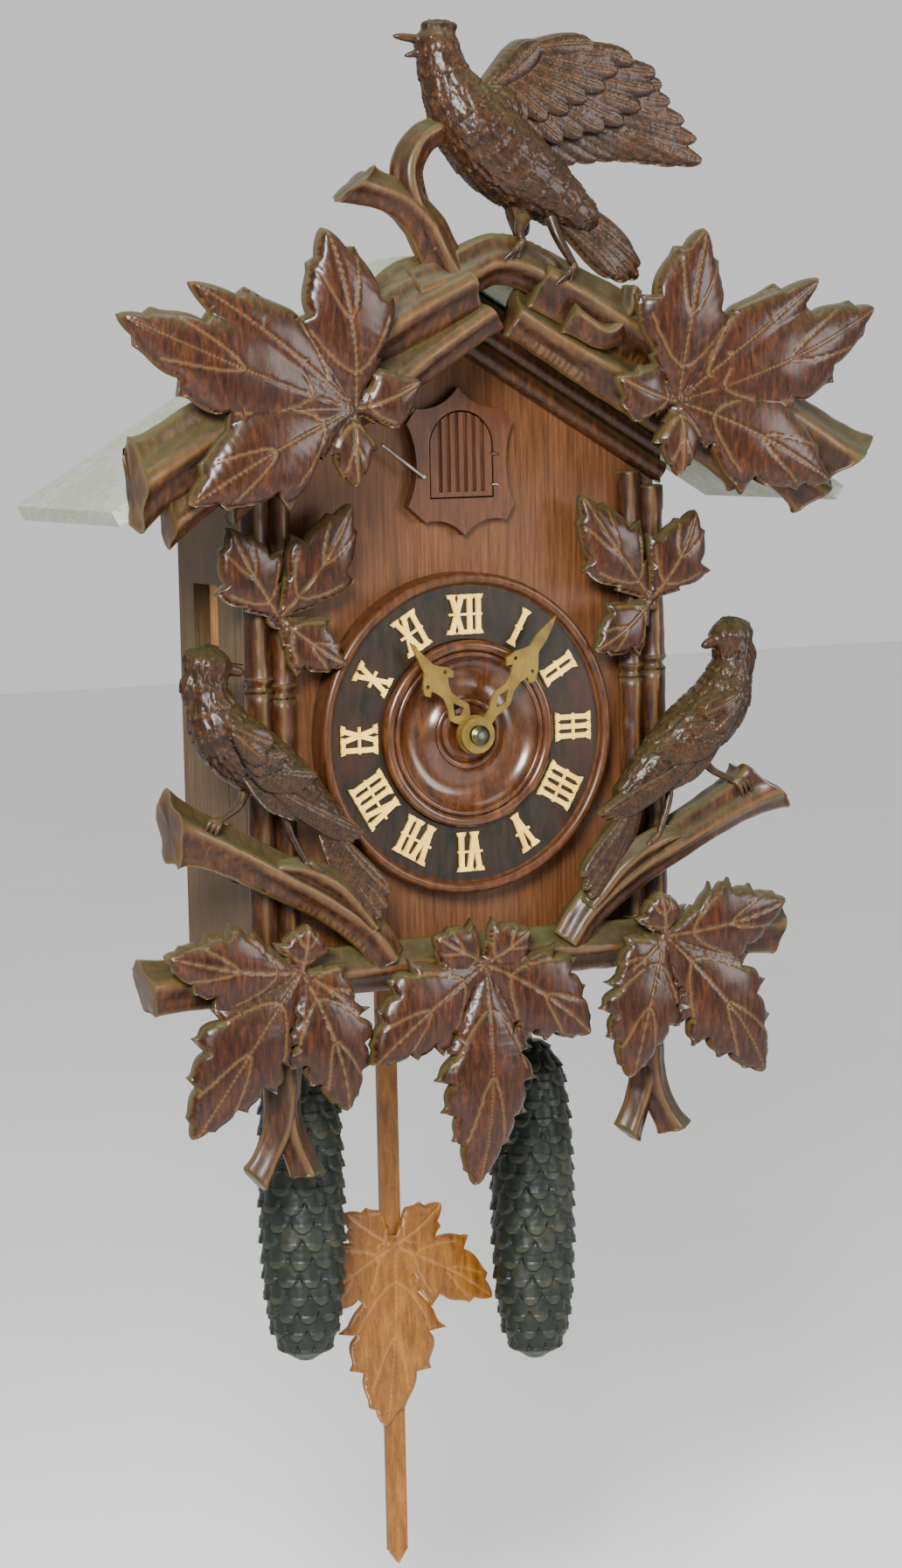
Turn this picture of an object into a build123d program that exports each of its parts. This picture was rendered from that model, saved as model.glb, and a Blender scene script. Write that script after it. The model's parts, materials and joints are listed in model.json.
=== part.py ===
from build123d import *
import math
import os

os.makedirs("parts", exist_ok=True)

# Row frame: +X to the right seen from the front, +Y into the wall, +Z up, millimetres.
# The origin is the centre of the hanging hole, in the plane of the wall.

# ---- driving dimensions -------------------------------------------------------------------
DIAL_Z = -165.0            # dial centre below the hanging hole
FACE_Y = -82.0             # chapter ring surface
PANEL_Y = -73.0            # front face of the front panel
PANEL_T = 6.0
CASE_HALF_W = 98.0
SIDE_T = 7.0
BACK_T = 6.0
BOTTOM_Z = DIAL_Z - 100.0  # underside of the case
BOTTOM_T = 7.0

ROOF_PITCH = 31.2          # degrees
ROOF_T = 7.0
RIDGE_Z = DIAL_Z + 204.6   # top of the ridge
EAVE_X = 171.0
ROOF_FRONT_Y = -114.0

HANG_HOLE_R = 4.0
HANGER_T = 1.5

DIAL_R = 69.0
CENTRE_R = 40.2            # turned dish inside the chapter ring
CHAPTER_R = 51.1           # circle through the middles of the numerals
NUMERAL_H = 17.0
HOUR_ANGLE = -36.0         # clockwise from twelve
MINUTE_ANGLE = 38.0

DOOR_X = 2.0               # centre line of the cuckoo door
DOOR_HALF_W = 14.5
DOOR_SILL_Z = DIAL_Z + 101.0
DOOR_SPRING_Z = DIAL_Z + 122.5
DOOR_T = 4.0
DOOR_GAP = 0.7

PLATE_T = 1.5
FRONT_PLATE_Y = -56.0      # front face of the movement's front plate
BACK_PLATE_Y = -22.0       # front face of the movement's back plate
ARBOR_R = 1.5
RUN_GAP = 0.05             # radial running clearance

CHAIN_Y = -36.0
SPROCKET_R = 12.5
SPROCKET_Z = DIAL_Z - 22.0
TIME_X = -50.5             # chain wheel of the time train
STRIKE_X = 38.5            # chain wheel of the strike train
LINK_PITCH = 7.0
LINK_WIRE = 1.3
LINK_WIDTH = 6.4

CONE_R = 19.5
CONE_LENGTH = 150.0
TIME_CONE_TOP = DIAL_Z - 131.0
STRIKE_CONE_TOP = DIAL_Z - 146.0

PENDULUM_X = -9.0
PENDULUM_Y = -11.0         # plane of the pendulum's leader wire
PENDULUM_TOP = DIAL_Z + 44.0
PENDULUM_TIP = DIAL_Z - 387.0

SLOPE = math.tan(math.radians(ROOF_PITCH))
ROOF_DROP = ROOF_T / math.cos(math.radians(ROOF_PITCH))
UNDER_RIDGE_Z = RIDGE_Z - ROOF_DROP
INNER_W = CASE_HALF_W - SIDE_T
INNER_FRONT_Y = PANEL_Y + PANEL_T


# ---- helpers ------------------------------------------------------------------------------
def save(builder, name):
    """Label a finished piece and write its STEP file."""
    builder.part.label = name
    export_step(builder.part, f"parts/{name}.step")


def facing(y):
    """Plane parallel to the dial at depth y, with X right and Z up; extrusion comes forward."""
    return Plane.XZ.offset(-y)


def roof_z(x):
    """Height of the roof's underside at x."""
    return UNDER_RIDGE_Z - abs(x) * SLOPE


def dz(height):
    """Row height of a height measured from the dial centre."""
    return DIAL_Z + height


def outline(points):
    """Closed polygon face in the active sketch."""
    Polygon(*points, align=None)


def slab(points, y_back, thickness):
    """Flat plate of a given outline, from y_back forward."""
    with BuildPart() as plate:
        with BuildSketch(facing(y_back)):
            outline(points)
        extrude(amount=thickness)
    return plate.part


def box_between(low, high, mode=Mode.ADD):
    """Box given by two opposite corners, in the active part."""
    centre = [(a + b) / 2 for a, b in zip(low, high)]
    size = [b - a for a, b in zip(low, high)]
    with Locations(Vector(*centre)):
        Box(*size, mode=mode)


def rod(a, b, radius, end_radius=None, mode=Mode.ADD):
    """Straight round rod, tapered when end_radius is given, in the active part."""
    start, end = Vector(*a), Vector(*b)
    far = radius if end_radius is None else end_radius
    stand = (Align.CENTER, Align.CENTER, Align.MIN)
    with Locations(Plane(origin=start, z_dir=end - start)):
        if abs(far - radius) < 1e-6:
            Cylinder(radius, (end - start).length, align=stand, mode=mode)
        else:
            Cone(radius, far, (end - start).length, align=stand, mode=mode)


def limb(stations, round_ends=False):
    """Chain of tapered rods through (point, radius) stations, with a ball at each bend."""
    for (a, ra), (b, rb) in zip(stations, stations[1:]):
        rod(a, b, ra, rb)
    balls = stations if round_ends else stations[1:-1]
    for point, radius in balls:
        with Locations(Vector(*point)):
            Sphere(radius)


def lobe_points(base, tip, half_width, teeth):
    """Pointed leaf lobe from base to tip with saw teeth leaning towards the tip."""
    bx, bz = base
    dx, dz_ = tip[0] - bx, tip[1] - bz
    side_points = []
    for k in range(teeth):
        start = (k + 0.35) / (teeth + 0.45)
        stop = (k + 1.0) / (teeth + 0.45)
        swell = math.sin(math.pi * stop ** 0.8)
        dip = math.sin(math.pi * min(start + 0.55 / teeth, 1.0) ** 0.8)
        side_points.append((stop, max(swell, 0.12) * half_width))
        side_points.append((stop + 0.03, max(min(swell, dip) * 0.80, 0.09) * half_width))
    length = math.hypot(dx, dz_)
    ux, uz = dx / length, dz_ / length
    points = [(bx - uz * half_width * 0.22, bz + ux * half_width * 0.22)]
    points += [(bx + dx * t - uz * w, bz + dz_ * t + ux * w) for t, w in side_points]
    points.append(tip)
    points += [(bx + dx * t + uz * w, bz + dz_ * t - ux * w) for t, w in reversed(side_points)]
    points.append((bx + uz * half_width * 0.22, bz - ux * half_width * 0.22))
    return points


def leaf(origin, lobes, back_y, thickness, flip=1):
    """Carved maple leaf: lobes are (tip x, tip z, half width, teeth) from the vein origin."""
    with BuildPart() as carving:
        with BuildSketch(facing(back_y)):
            with Locations((origin[0], dz(origin[1]))):
                Circle(thickness)
            for tip_x, tip_z, half_width, teeth in lobes:
                tip = (origin[0] + flip * tip_x, dz(origin[1] + tip_z))
                outline(lobe_points((origin[0], dz(origin[1])), tip, half_width, teeth))
        extrude(amount=thickness)
    return carving


def tooth_ring(teeth, module, phase, addendum=0.8, dedendum=1.2):
    """Points of a slender-toothed gear outline; one tooth is centred on phase degrees."""
    pitch_r = teeth * module / 2
    step = 2 * math.pi / teeth
    points = []
    for k in range(teeth):
        middle = math.radians(phase) + k * step
        for turn, radius in ((-0.24, pitch_r - dedendum * module), (-0.07, pitch_r + addendum * module),
                             (0.07, pitch_r + addendum * module), (0.24, pitch_r - dedendum * module)):
            angle = middle + turn * step
            points.append((radius * math.cos(angle), radius * math.sin(angle)))
    return points


def wheel(centre_x, centre_z, y_back, thickness, points, bore=0.0):
    """Flat toothed wheel with an optional bore, axis along Y."""
    with BuildPart() as disc:
        with BuildSketch(facing(y_back)):
            outline([(centre_x + px, centre_z + pz) for px, pz in points])
            if bore:
                with Locations((centre_x, centre_z)):
                    Circle(bore, mode=Mode.SUBTRACT)
        extrude(amount=thickness)
    return disc.part


# ---- case ---------------------------------------------------------------------------------
with BuildPart() as front_panel:
    with BuildSketch(facing(PANEL_Y + PANEL_T)):
        outline([(-INNER_W, BOTTOM_Z), (INNER_W, BOTTOM_Z), (INNER_W, roof_z(INNER_W)),
                 (0, UNDER_RIDGE_Z), (-INNER_W, roof_z(INNER_W))])
        with Locations((0, DIAL_Z)):
            Circle(9.0, mode=Mode.SUBTRACT)
        with Locations((DOOR_X, DOOR_SPRING_Z)):
            Circle(DOOR_HALF_W + DOOR_GAP, mode=Mode.SUBTRACT)
        with Locations((DOOR_X, (DOOR_SILL_Z - DOOR_GAP + DOOR_SPRING_Z) / 2)):
            Rectangle(2 * (DOOR_HALF_W + DOOR_GAP), DOOR_SPRING_Z - DOOR_SILL_Z + DOOR_GAP,
                      mode=Mode.SUBTRACT)
    extrude(amount=PANEL_T)
save(front_panel, "front_panel")

SOUND_HOLE = (-44.0, -17.0, dz(39), dz(66))       # y low, y high, z low, z high
SIDE_DOOR = (-70.0, -50.5, dz(-60), dz(34))


for side, side_name in ((-1, "left"), (1, "right")):
    x_out = side * CASE_HALF_W
    x_in = side * INNER_W
    with BuildPart() as side_panel:
        with BuildSketch(facing(0)):
            outline([(x_out, BOTTOM_Z), (x_in, BOTTOM_Z), (x_in, roof_z(x_in)), (x_out, roof_z(x_out))])
        extrude(amount=-PANEL_Y)
        box_between((min(x_in, x_out) - 1, SOUND_HOLE[0], SOUND_HOLE[2]),
                    (max(x_in, x_out) + 1, SOUND_HOLE[1], SOUND_HOLE[3]), Mode.SUBTRACT)
        if side < 0:
            box_between((x_out - 1, SIDE_DOOR[0], SIDE_DOOR[2]),
                        (x_in + 1, SIDE_DOOR[1], SIDE_DOOR[3]), Mode.SUBTRACT)
    save(side_panel, f"side_panel_{side_name}")

with BuildPart() as side_door:
    with BuildSketch(Plane.XY.offset(SIDE_DOOR[2] + 0.5)):
        outline([(-CASE_HALF_W, SIDE_DOOR[0] + 0.5), (-CASE_HALF_W, SIDE_DOOR[1] - 0.6),
                 (-INNER_W, SIDE_DOOR[1] - 0.6), (-INNER_W, SIDE_DOOR[0] + 2.6)])
    extrude(amount=SIDE_DOOR[3] - SIDE_DOOR[2] - 1.0)
save(side_door, "side_door")

HINGE_X = -CASE_HALF_W - 1.7
with BuildPart() as side_door_hinges:
    for low in (dz(13), dz(-45)):
        rod((HINGE_X, SIDE_DOOR[1], low), (HINGE_X, SIDE_DOOR[1], low + 10), 1.5)
        box_between((HINGE_X, SIDE_DOOR[1] + 0.4, low), (-CASE_HALF_W, SIDE_DOOR[1] + 5, low + 10))
save(side_door_hinges, "side_door_hinges")

PENDULUM_SLOT = (PENDULUM_X - 16, PENDULUM_X + 16, PENDULUM_Y - 3.5, PENDULUM_Y + 4.0)
CHAIN_XS = (TIME_X - SPROCKET_R, TIME_X + SPROCKET_R, STRIKE_X + SPROCKET_R, STRIKE_X - SPROCKET_R)
with BuildPart() as bottom_board:
    box_between((-INNER_W, INNER_FRONT_Y, BOTTOM_Z), (INNER_W, -BACK_T, BOTTOM_Z + BOTTOM_T))
    for chain_x in CHAIN_XS:
        rod((chain_x, CHAIN_Y, BOTTOM_Z - 1), (chain_x, CHAIN_Y, BOTTOM_Z + BOTTOM_T + 1), 6.0,
            mode=Mode.SUBTRACT)
    box_between((PENDULUM_SLOT[0], PENDULUM_SLOT[2], BOTTOM_Z - 1),
                (PENDULUM_SLOT[1], PENDULUM_SLOT[3], BOTTOM_Z + BOTTOM_T + 1), Mode.SUBTRACT)
save(bottom_board, "bottom_board")

BACK_OPENING = (-66.0, 66.0, dz(-70), dz(75))      # x low, x high, z low, z high
BUTTON_X, BUTTON_Z = BACK_OPENING[0] - 5.0, dz(2)
BUTTON_LENGTH = 26.0
BUTTON_POCKET = 1.5
DOOR_RECESS = 1.6
with BuildPart() as back_board:
    with BuildSketch(facing(0)):
        outline([(-INNER_W, BOTTOM_Z), (INNER_W, BOTTOM_Z), (INNER_W, roof_z(INNER_W)),
                 (0, UNDER_RIDGE_Z), (-INNER_W, roof_z(INNER_W))])
        with Locations(((BACK_OPENING[0] + BACK_OPENING[1]) / 2, (BACK_OPENING[2] + BACK_OPENING[3]) / 2)):
            Rectangle(BACK_OPENING[1] - BACK_OPENING[0], BACK_OPENING[3] - BACK_OPENING[2],
                      mode=Mode.SUBTRACT)
    extrude(amount=BACK_T)
    box_between((-14, -HANGER_T, -10), (14, 1, 10), Mode.SUBTRACT)
    rod((0, -BACK_T - 1, 0), (0, 1, 0), 8.0, mode=Mode.SUBTRACT)
    rod((BUTTON_X, -BUTTON_POCKET, BUTTON_Z), (BUTTON_X, 1, BUTTON_Z), BUTTON_LENGTH / 2 + 0.6,
        mode=Mode.SUBTRACT)
save(back_board, "back_board")

with BuildPart() as hanger_plate:
    box_between((-14, -HANGER_T, -10), (14, 0, 10))
    rod((0, -HANGER_T - 1, 0), (0, 1, 0), HANG_HOLE_R, mode=Mode.SUBTRACT)
save(hanger_plate, "hanger_plate")

with BuildPart() as back_door:
    box_between((BACK_OPENING[0] + 1.2, -BACK_T, BACK_OPENING[2] + 0.6),
                (BACK_OPENING[1] - 0.4, -DOOR_RECESS, BACK_OPENING[3] - 0.6))
save(back_door, "back_door")

with BuildPart() as back_door_button:
    with BuildSketch(facing(-0.3)):
        with Locations((BUTTON_X, BUTTON_Z)):
            SlotOverall(BUTTON_LENGTH, 8, rotation=90)
    extrude(amount=1.0)
save(back_door_button, "back_door_button")

with BuildPart() as roof_boards:
    for side in (-1, 1):
        with BuildSketch(facing(0)):
            outline([(0, RIDGE_Z), (side * EAVE_X, RIDGE_Z - EAVE_X * SLOPE),
                     (side * (EAVE_X - 3.6), RIDGE_Z - ROOF_DROP - (EAVE_X - 3.6) * SLOPE),
                     (0, UNDER_RIDGE_Z)])
        extrude(amount=-ROOF_FRONT_Y)
save(roof_boards, "roof_boards")

# ---- carved frame -------------------------------------------------------------------------
RAIL_Z = dz(-97)
RAIL_R = 10.5
POST_BARS = ((94.0, 5.6, 102.0), (83.5, 5.2, 108.5))   # distance from the centre line, radius, top
with BuildPart() as corner_posts:
    for side in (-1, 1):
        for bar_x, bar_r, bar_top in POST_BARS:
            low, high = RAIL_Z + RAIL_R, dz(bar_top)
            rod((side * bar_x, PANEL_Y - 3.5, low), (side * bar_x, PANEL_Y - 3.5, high), bar_r)
            rod((side * bar_x, PANEL_Y - 3.5, dz(23.5)), (side * bar_x, PANEL_Y - 3.5, dz(26.5)), bar_r + 0.8)
    split(bisect_by=facing(PANEL_Y), keep=Keep.TOP)
save(corner_posts, "corner_posts")

GABLE_INNER_Z = dz(164.5)                          # inner edge of the gable at the apex
MOULD_W = 8.4                                      # pitch of the gable's parallel bars
COS_P = math.cos(math.radians(ROOF_PITCH))
GABLE_SPAN = CASE_HALF_W + 2.0
with BuildPart() as gable_mouldings:
    for side in (-1, 1):
        for row in range(3):
            apex_z = GABLE_INNER_Z + (row + 0.5) * MOULD_W / COS_P
            foot = (side * GABLE_SPAN, PANEL_Y - 3.0, apex_z - GABLE_SPAN * SLOPE)
            rod((-side * 6, PANEL_Y - 3.0, apex_z + 6 * SLOPE), foot, MOULD_W / 2 + 0.3)
        lip = MOULD_W / COS_P
        low_z = GABLE_INNER_Z - GABLE_SPAN * SLOPE
        wedge = [(0, GABLE_INNER_Z), (side * GABLE_SPAN, low_z), (side * GABLE_SPAN, low_z + 3 * lip),
                 (0, GABLE_INNER_Z + 3 * lip)]
        with BuildSketch(facing(PANEL_Y)):
            outline(wedge)
        extrude(amount=3.5)
    split(bisect_by=facing(PANEL_Y), keep=Keep.TOP)
    corner = GABLE_SPAN + 20
    with BuildSketch(facing(PANEL_Y + 5)):
        outline([(0, UNDER_RIDGE_Z - 0.2), (corner, UNDER_RIDGE_Z - 0.2 - corner * SLOPE), (corner, 80),
                 (-corner, 80), (-corner, UNDER_RIDGE_Z - 0.2 - corner * SLOPE)])
    extrude(amount=30, mode=Mode.SUBTRACT)
    box_between((-corner, -120, dz(60)), (corner, -60, dz(95)), Mode.SUBTRACT)
save(gable_mouldings, "gable_mouldings")

LOG_Y = ROOF_FRONT_Y - 5.0
UPPER_LOG = ((26.0, dz(181.5)), (171.0, dz(106.0)), 12.5)
LOWER_LOG = ((13.0, dz(166.5)), (122.0, dz(103.5)), 7.0)
with BuildPart() as bark_logs:
    for side in (-1, 1):
        for (x0, z0), (x1, z1), log_r in (UPPER_LOG, LOWER_LOG):
            rod((side * x0, LOG_Y, z0), (side * x1, LOG_Y, z1), log_r)
    split(bisect_by=facing(ROOF_FRONT_Y), keep=Keep.TOP)
save(bark_logs, "bark_logs")

CROWN_Y = LOG_Y - 1.0
with BuildPart() as crown_branch:
    limb([((24.5, CROWN_Y, dz(189)), 9), ((2, CROWN_Y, dz(200)), 10), ((-18, CROWN_Y, dz(196)), 10),
          ((-24.5, CROWN_Y, dz(188)), 9)])
    limb([((-12, CROWN_Y, dz(198)), 8), ((-34, CROWN_Y, dz(211)), 7.5), ((-46, CROWN_Y, dz(224)), 7),
          ((-64, CROWN_Y, dz(229)), 6)])
    limb([((-34, CROWN_Y, dz(211)), 7), ((-41, CROWN_Y, dz(233)), 6.5), ((-38, CROWN_Y, dz(245)), 6),
          ((-31.5, CROWN_Y, dz(250)), 5)])
    split(bisect_by=facing(ROOF_FRONT_Y), keep=Keep.TOP)
save(crown_branch, "crown_branch")

BIRD_Y = CROWN_Y
with BuildPart() as crown_bird:
    limb([((2, BIRD_Y, dz(238)), 15), ((-14, BIRD_Y, dz(252)), 14), ((-22, BIRD_Y, dz(266)), 10),
          ((-26, BIRD_Y, dz(282)), 9)], round_ends=True)
    rod((-30, BIRD_Y, dz(286)), (-48, BIRD_Y, dz(286.5)), 4.5, 0.8)
    limb([((2, BIRD_Y, dz(238)), 14), ((26, BIRD_Y, dz(226)), 11), ((40, BIRD_Y, dz(214)), 8)],
         round_ends=True)
    limb([((8, BIRD_Y, dz(228)), 7), ((8, BIRD_Y, dz(213.5)), 3)])
    with BuildSketch(facing(BIRD_Y + 6)):
        outline([(-8, dz(262)), (-5, dz(277)), (12, dz(288)), (34, dz(289)), (58, dz(284)), (80, dz(270)),
                 (100, dz(240)), (70, dz(243)), (34, dz(241)), (14, dz(236))])
    extrude(amount=7)
    with BuildSketch(facing(BIRD_Y + 5)):
        outline([(22, dz(230)), (40, dz(224)), (62, dz(202)), (61, dz(193)), (50, dz(196)), (24, dz(216))])
    extrude(amount=9)
save(crown_bird, "crown_bird")

with BuildPart() as bottom_rail:
    rod((-153, PANEL_Y - 9, RAIL_Z), (153, PANEL_Y - 9, RAIL_Z), RAIL_R)
    box_between((-INNER_W, PANEL_Y - 9, RAIL_Z - 9), (INNER_W, PANEL_Y, RAIL_Z + 9))
    split(bisect_by=facing(PANEL_Y), keep=Keep.TOP)
save(bottom_rail, "bottom_rail")

BRANCH_Y = PANEL_Y - 16.5
with BuildPart() as perch_branches:
    for side in (-1, 1):
        limb([((side * 143, BRANCH_Y, dz(-31)), 11), ((side * 110, BRANCH_Y, dz(-45)), 9.5),
              ((side * 74, BRANCH_Y, dz(-66)), 8.5), ((side * 40, BRANCH_Y, dz(-95)), 8)])
    split(bisect_by=facing(PANEL_Y - 9.8), keep=Keep.TOP)
    box_between((-200, -140, dz(-120)), (200, -60, RAIL_Z + RAIL_R + 0.4), Mode.SUBTRACT)
save(perch_branches, "perch_branches")

PERCH_Y = BRANCH_Y - 5
for side, side_name in ((-1, "left"), (1, "right")):
    with BuildPart() as side_bird:
        limb([((side * 86, PERCH_Y, dz(-16)), 11), ((side * 104, PERCH_Y, dz(-4)), 14.5),
              ((side * 118, PERCH_Y, dz(8)), 14), ((side * 124, PERCH_Y, dz(24)), 9.5),
              ((side * 124.5, PERCH_Y, dz(36)), 10)], round_ends=True)
        rod((side * 119, PERCH_Y, dz(36)), (side * 108, PERCH_Y - 3, dz(33)), 4, 0.8)
        rod((side * 86, PERCH_Y, dz(-16)), (side * 62, PERCH_Y - 3, dz(-44)), 10.5, 7)
        rod((side * 62, PERCH_Y - 3, dz(-44)), (side * 48, PERCH_Y - 4, dz(-73)), 6.5, 3)
        for foot_x, foot_z in ((121, -29.5), (84, -49)):
            rod((side * (foot_x - 13), PERCH_Y + 2, dz(-14)), (side * foot_x, PERCH_Y + 1, dz(foot_z)),
                2.6, 1.6)
        split(bisect_by=facing(PERCH_Y + 10), keep=Keep.TOP)
    save(side_bird, f"side_bird_{side_name}")

TWIG_Y = PANEL_Y - 4.0
with BuildPart() as forked_twigs:
    for side in (-1, 1):
        limb([((side * 88, TWIG_Y, RAIL_Z - RAIL_R - 0.5), 7.5), ((side * 89, TWIG_Y, dz(-160)), 8),
              ((side * 101, TWIG_Y, dz(-183)), 5.5)])
        limb([((side * 89, TWIG_Y, dz(-158)), 7), ((side * 79, TWIG_Y, dz(-184)), 5)])
    split(bisect_by=facing(PANEL_Y), keep=Keep.TOP)
save(forked_twigs, "forked_twigs")

# Leaves: vein origin (x, height), then lobes as (tip x, tip z, half width, teeth a side).
TOP_LEAF = ((74.5, 139.5), ((13, 71, 19, 3), (-29, 10, 11, 2), (0, -30, 10, 2), (72, -36, 17, 3),
                            (98, 38, 21, 3), (70, 50, 14, 2)))
SPRIG_LEAF = ((88.3, 54.0), ((-33, 46, 13, 2), (22, 37, 14, 2), (-28, -20, 11, 2)))
SIDE_LEAF = ((87.0, -93.5), ((61, 11, 15, 4), (-3, 19, 10, 2), (50, -66, 20, 4), (-19, -61, 18, 4),
                             (-23, -17, 10, 2)))
CENTRE_LEAF = ((-1.6, -98.0), ((-24, 13, 11, 2), (22, 13, 11, 2), (48, -34, 20, 4), (-54, -38, 18, 4),
                               (-6, -96, 20, 3)))
PENDULUM_LEAF = ((PENDULUM_X, -238.0), ((-22, 17, 9, 1), (23, 16, 9, 1), (-40, -24, 15, 2), (48, -29, 15, 2),
                                        (-6, -82, 20, 3)))
LEAF_T = 7.0
TOP_LEAF_Y = LOG_Y - 12.7
LOW_LEAF_Y = PANEL_Y - 9 - RAIL_R - 0.2

for side, side_name in ((-1, "left"), (1, "right")):
    origin = (side * TOP_LEAF[0][0], TOP_LEAF[0][1])
    save(leaf(origin, TOP_LEAF[1], TOP_LEAF_Y, LEAF_T, side), f"top_leaf_{side_name}")
    origin = (side * SIDE_LEAF[0][0], SIDE_LEAF[0][1])
    save(leaf(origin, SIDE_LEAF[1], LOW_LEAF_Y, LEAF_T, side), f"bottom_leaf_{side_name}")
save(leaf(CENTRE_LEAF[0], CENTRE_LEAF[1], LOW_LEAF_Y, LEAF_T + 1), "bottom_leaf_centre")

SPRIG_Y = PANEL_Y - 10.2
with BuildPart() as sprig_leaves:
    for side in (-1, 1):
        origin = (side * SPRIG_LEAF[0][0], SPRIG_LEAF[0][1])
        add(leaf(origin, SPRIG_LEAF[1], SPRIG_Y, LEAF_T - 1, side).part)
save(sprig_leaves, "sprig_leaves")

# ---- dial and hands -----------------------------------------------------------------------
with BuildPart() as dial_board:
    with BuildSketch(Plane.YZ):
        with BuildLine():
            Polyline((PANEL_Y, DIAL_Z + 9), (PANEL_Y, DIAL_Z + DIAL_R), (FACE_Y - 1, DIAL_Z + DIAL_R))
            ThreePointArc((FACE_Y - 1, DIAL_Z + DIAL_R), (FACE_Y - 3.5, DIAL_Z + DIAL_R - 2.2),
                          (FACE_Y - 1, DIAL_Z + DIAL_R - 4.6))
            Polyline((FACE_Y - 1, DIAL_Z + DIAL_R - 4.6), (FACE_Y, DIAL_Z + DIAL_R - 5.4),
                     (FACE_Y, DIAL_Z + CENTRE_R + 0.4), (FACE_Y + 5, DIAL_Z + CENTRE_R + 0.4),
                     (FACE_Y + 5, DIAL_Z + 9), (PANEL_Y, DIAL_Z + 9))
        make_face()
    revolve(axis=Axis((0, 0, DIAL_Z), (0, 1, 0)))
save(dial_board, "dial_board")

with BuildPart() as dial_centre:
    with BuildSketch(Plane.YZ):
        with BuildLine():
            Polyline((FACE_Y + 5, DIAL_Z + 4.6), (FACE_Y + 5, DIAL_Z + CENTRE_R),
                     (FACE_Y - 1, DIAL_Z + CENTRE_R))
            ThreePointArc((FACE_Y - 1, DIAL_Z + CENTRE_R), (FACE_Y - 4.2, DIAL_Z + 37.6),
                          (FACE_Y - 2.2, DIAL_Z + 35.4))
            ThreePointArc((FACE_Y - 2.2, DIAL_Z + 35.4), (FACE_Y - 3.5, DIAL_Z + 34.2),
                          (FACE_Y - 2.2, DIAL_Z + 33))
            ThreePointArc((FACE_Y - 2.2, DIAL_Z + 33), (FACE_Y + 2.6, DIAL_Z + 24),
                          (FACE_Y - 0.5, DIAL_Z + 15.5))
            ThreePointArc((FACE_Y - 0.5, DIAL_Z + 15.5), (FACE_Y - 1.8, DIAL_Z + 14),
                          (FACE_Y - 0.5, DIAL_Z + 12.5))
            Polyline((FACE_Y - 0.5, DIAL_Z + 12.5), (FACE_Y - 2.5, DIAL_Z + 10.5), (FACE_Y - 2.5, DIAL_Z + 4.6),
                     (FACE_Y + 5, DIAL_Z + 4.6))
        make_face()
    revolve(axis=Axis((0, 0, DIAL_Z), (0, 1, 0)))
save(dial_centre, "dial_centre")

ROMAN = ("XII", "I", "II", "III", "IIII", "V", "VI", "VII", "VIII", "IX", "X", "XI")
STROKE = 2.2
STROKE_PITCH = 4.1
NUMERAL_T = 1.2


def numeral_strokes(text):
    """Quadrilateral strokes of one Roman numeral, centred on its own origin, foot towards -Z."""
    widths = {"I": STROKE_PITCH, "V": 2 * STROKE_PITCH, "X": 2 * STROKE_PITCH}
    total = sum(widths[letter] for letter in text)
    half_h = NUMERAL_H / 2
    strokes = []
    pen = -total / 2
    for letter in text:
        mid = pen + widths[letter] / 2
        reach = STROKE_PITCH * 0.62
        legs = {"I": ((0, 0),), "V": ((-reach, 0), (reach, 0)),
                "X": ((-reach, reach), (reach, -reach))}[letter]
        for top_shift, foot_shift in legs:
            top, foot = mid + top_shift, mid + foot_shift
            strokes.append([(foot - STROKE / 2, -half_h), (foot + STROKE / 2, -half_h),
                            (top + STROKE / 2, half_h), (top - STROKE / 2, half_h)])
            for middle, sign in ((top, 1), (foot, -1)):
                strokes.append([(middle - 2.2, sign * half_h), (middle, sign * (half_h - 0.6)),
                                (middle + 2.2, sign * half_h), (middle + 1.5, sign * (half_h - 1.9)),
                                (middle - 1.5, sign * (half_h - 1.9))])
        pen += widths[letter]
    strokes.append([(-total / 2 + 0.4, -0.5), (total / 2 - 0.4, -0.5), (total / 2 - 0.4, 0.5),
                    (-total / 2 + 0.4, 0.5)])
    return strokes


def turned(points, degrees, radius):
    """Points moved out by radius along +Z and turned clockwise by degrees about the dial centre."""
    c, s = math.cos(math.radians(degrees)), math.sin(math.radians(degrees))
    return [(px * c + (pz + radius) * s, DIAL_Z - px * s + (pz + radius) * c) for px, pz in points]


with BuildPart() as numerals:
    for hour, text in enumerate(ROMAN):
        with BuildSketch(facing(FACE_Y)):
            for stroke in numeral_strokes(text):
                outline(turned(stroke, 30 * hour, CHAPTER_R))
        extrude(amount=NUMERAL_T)
save(numerals, "numerals")

HOUR_HAND_Y = FACE_Y - 6.5
MINUTE_HAND_Y = FACE_Y - 9.6
HAND_T = 1.4
PIPE_R = 3.2
HOUR_HALF = ((2.4, 7), (4.2, 9.5), (5.6, 12.5), (3.4, 17), (2.2, 21.5), (3.4, 25.2), (4.9, 27.8), (6.6, 26.0),
             (8.3, 28.0), (7.2, 31.2), (4.6, 33.8), (2.8, 36), (1.9, 41), (0.9, 46))
MINUTE_HALF = ((2.4, 7), (2.4, 12), (4.2, 16), (4.6, 19.5), (2.6, 25), (3.0, 30), (4.6, 33.6), (6.6, 31.6),
               (8.6, 34.2), (7.0, 38.6), (4.2, 42.4), (2.4, 45), (2.5, 51), (1.7, 56))
HOUR_TIP, MINUTE_TIP = 50.5, 62.5
HOUR_PIERCING = ((0, 17.5), (2.8, 12.4), (0, 10.6), (-2.8, 12.4))
MINUTE_PIERCING = ((0, 24), (2.4, 18.8), (0, 14.4), (-2.4, 18.8))


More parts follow.
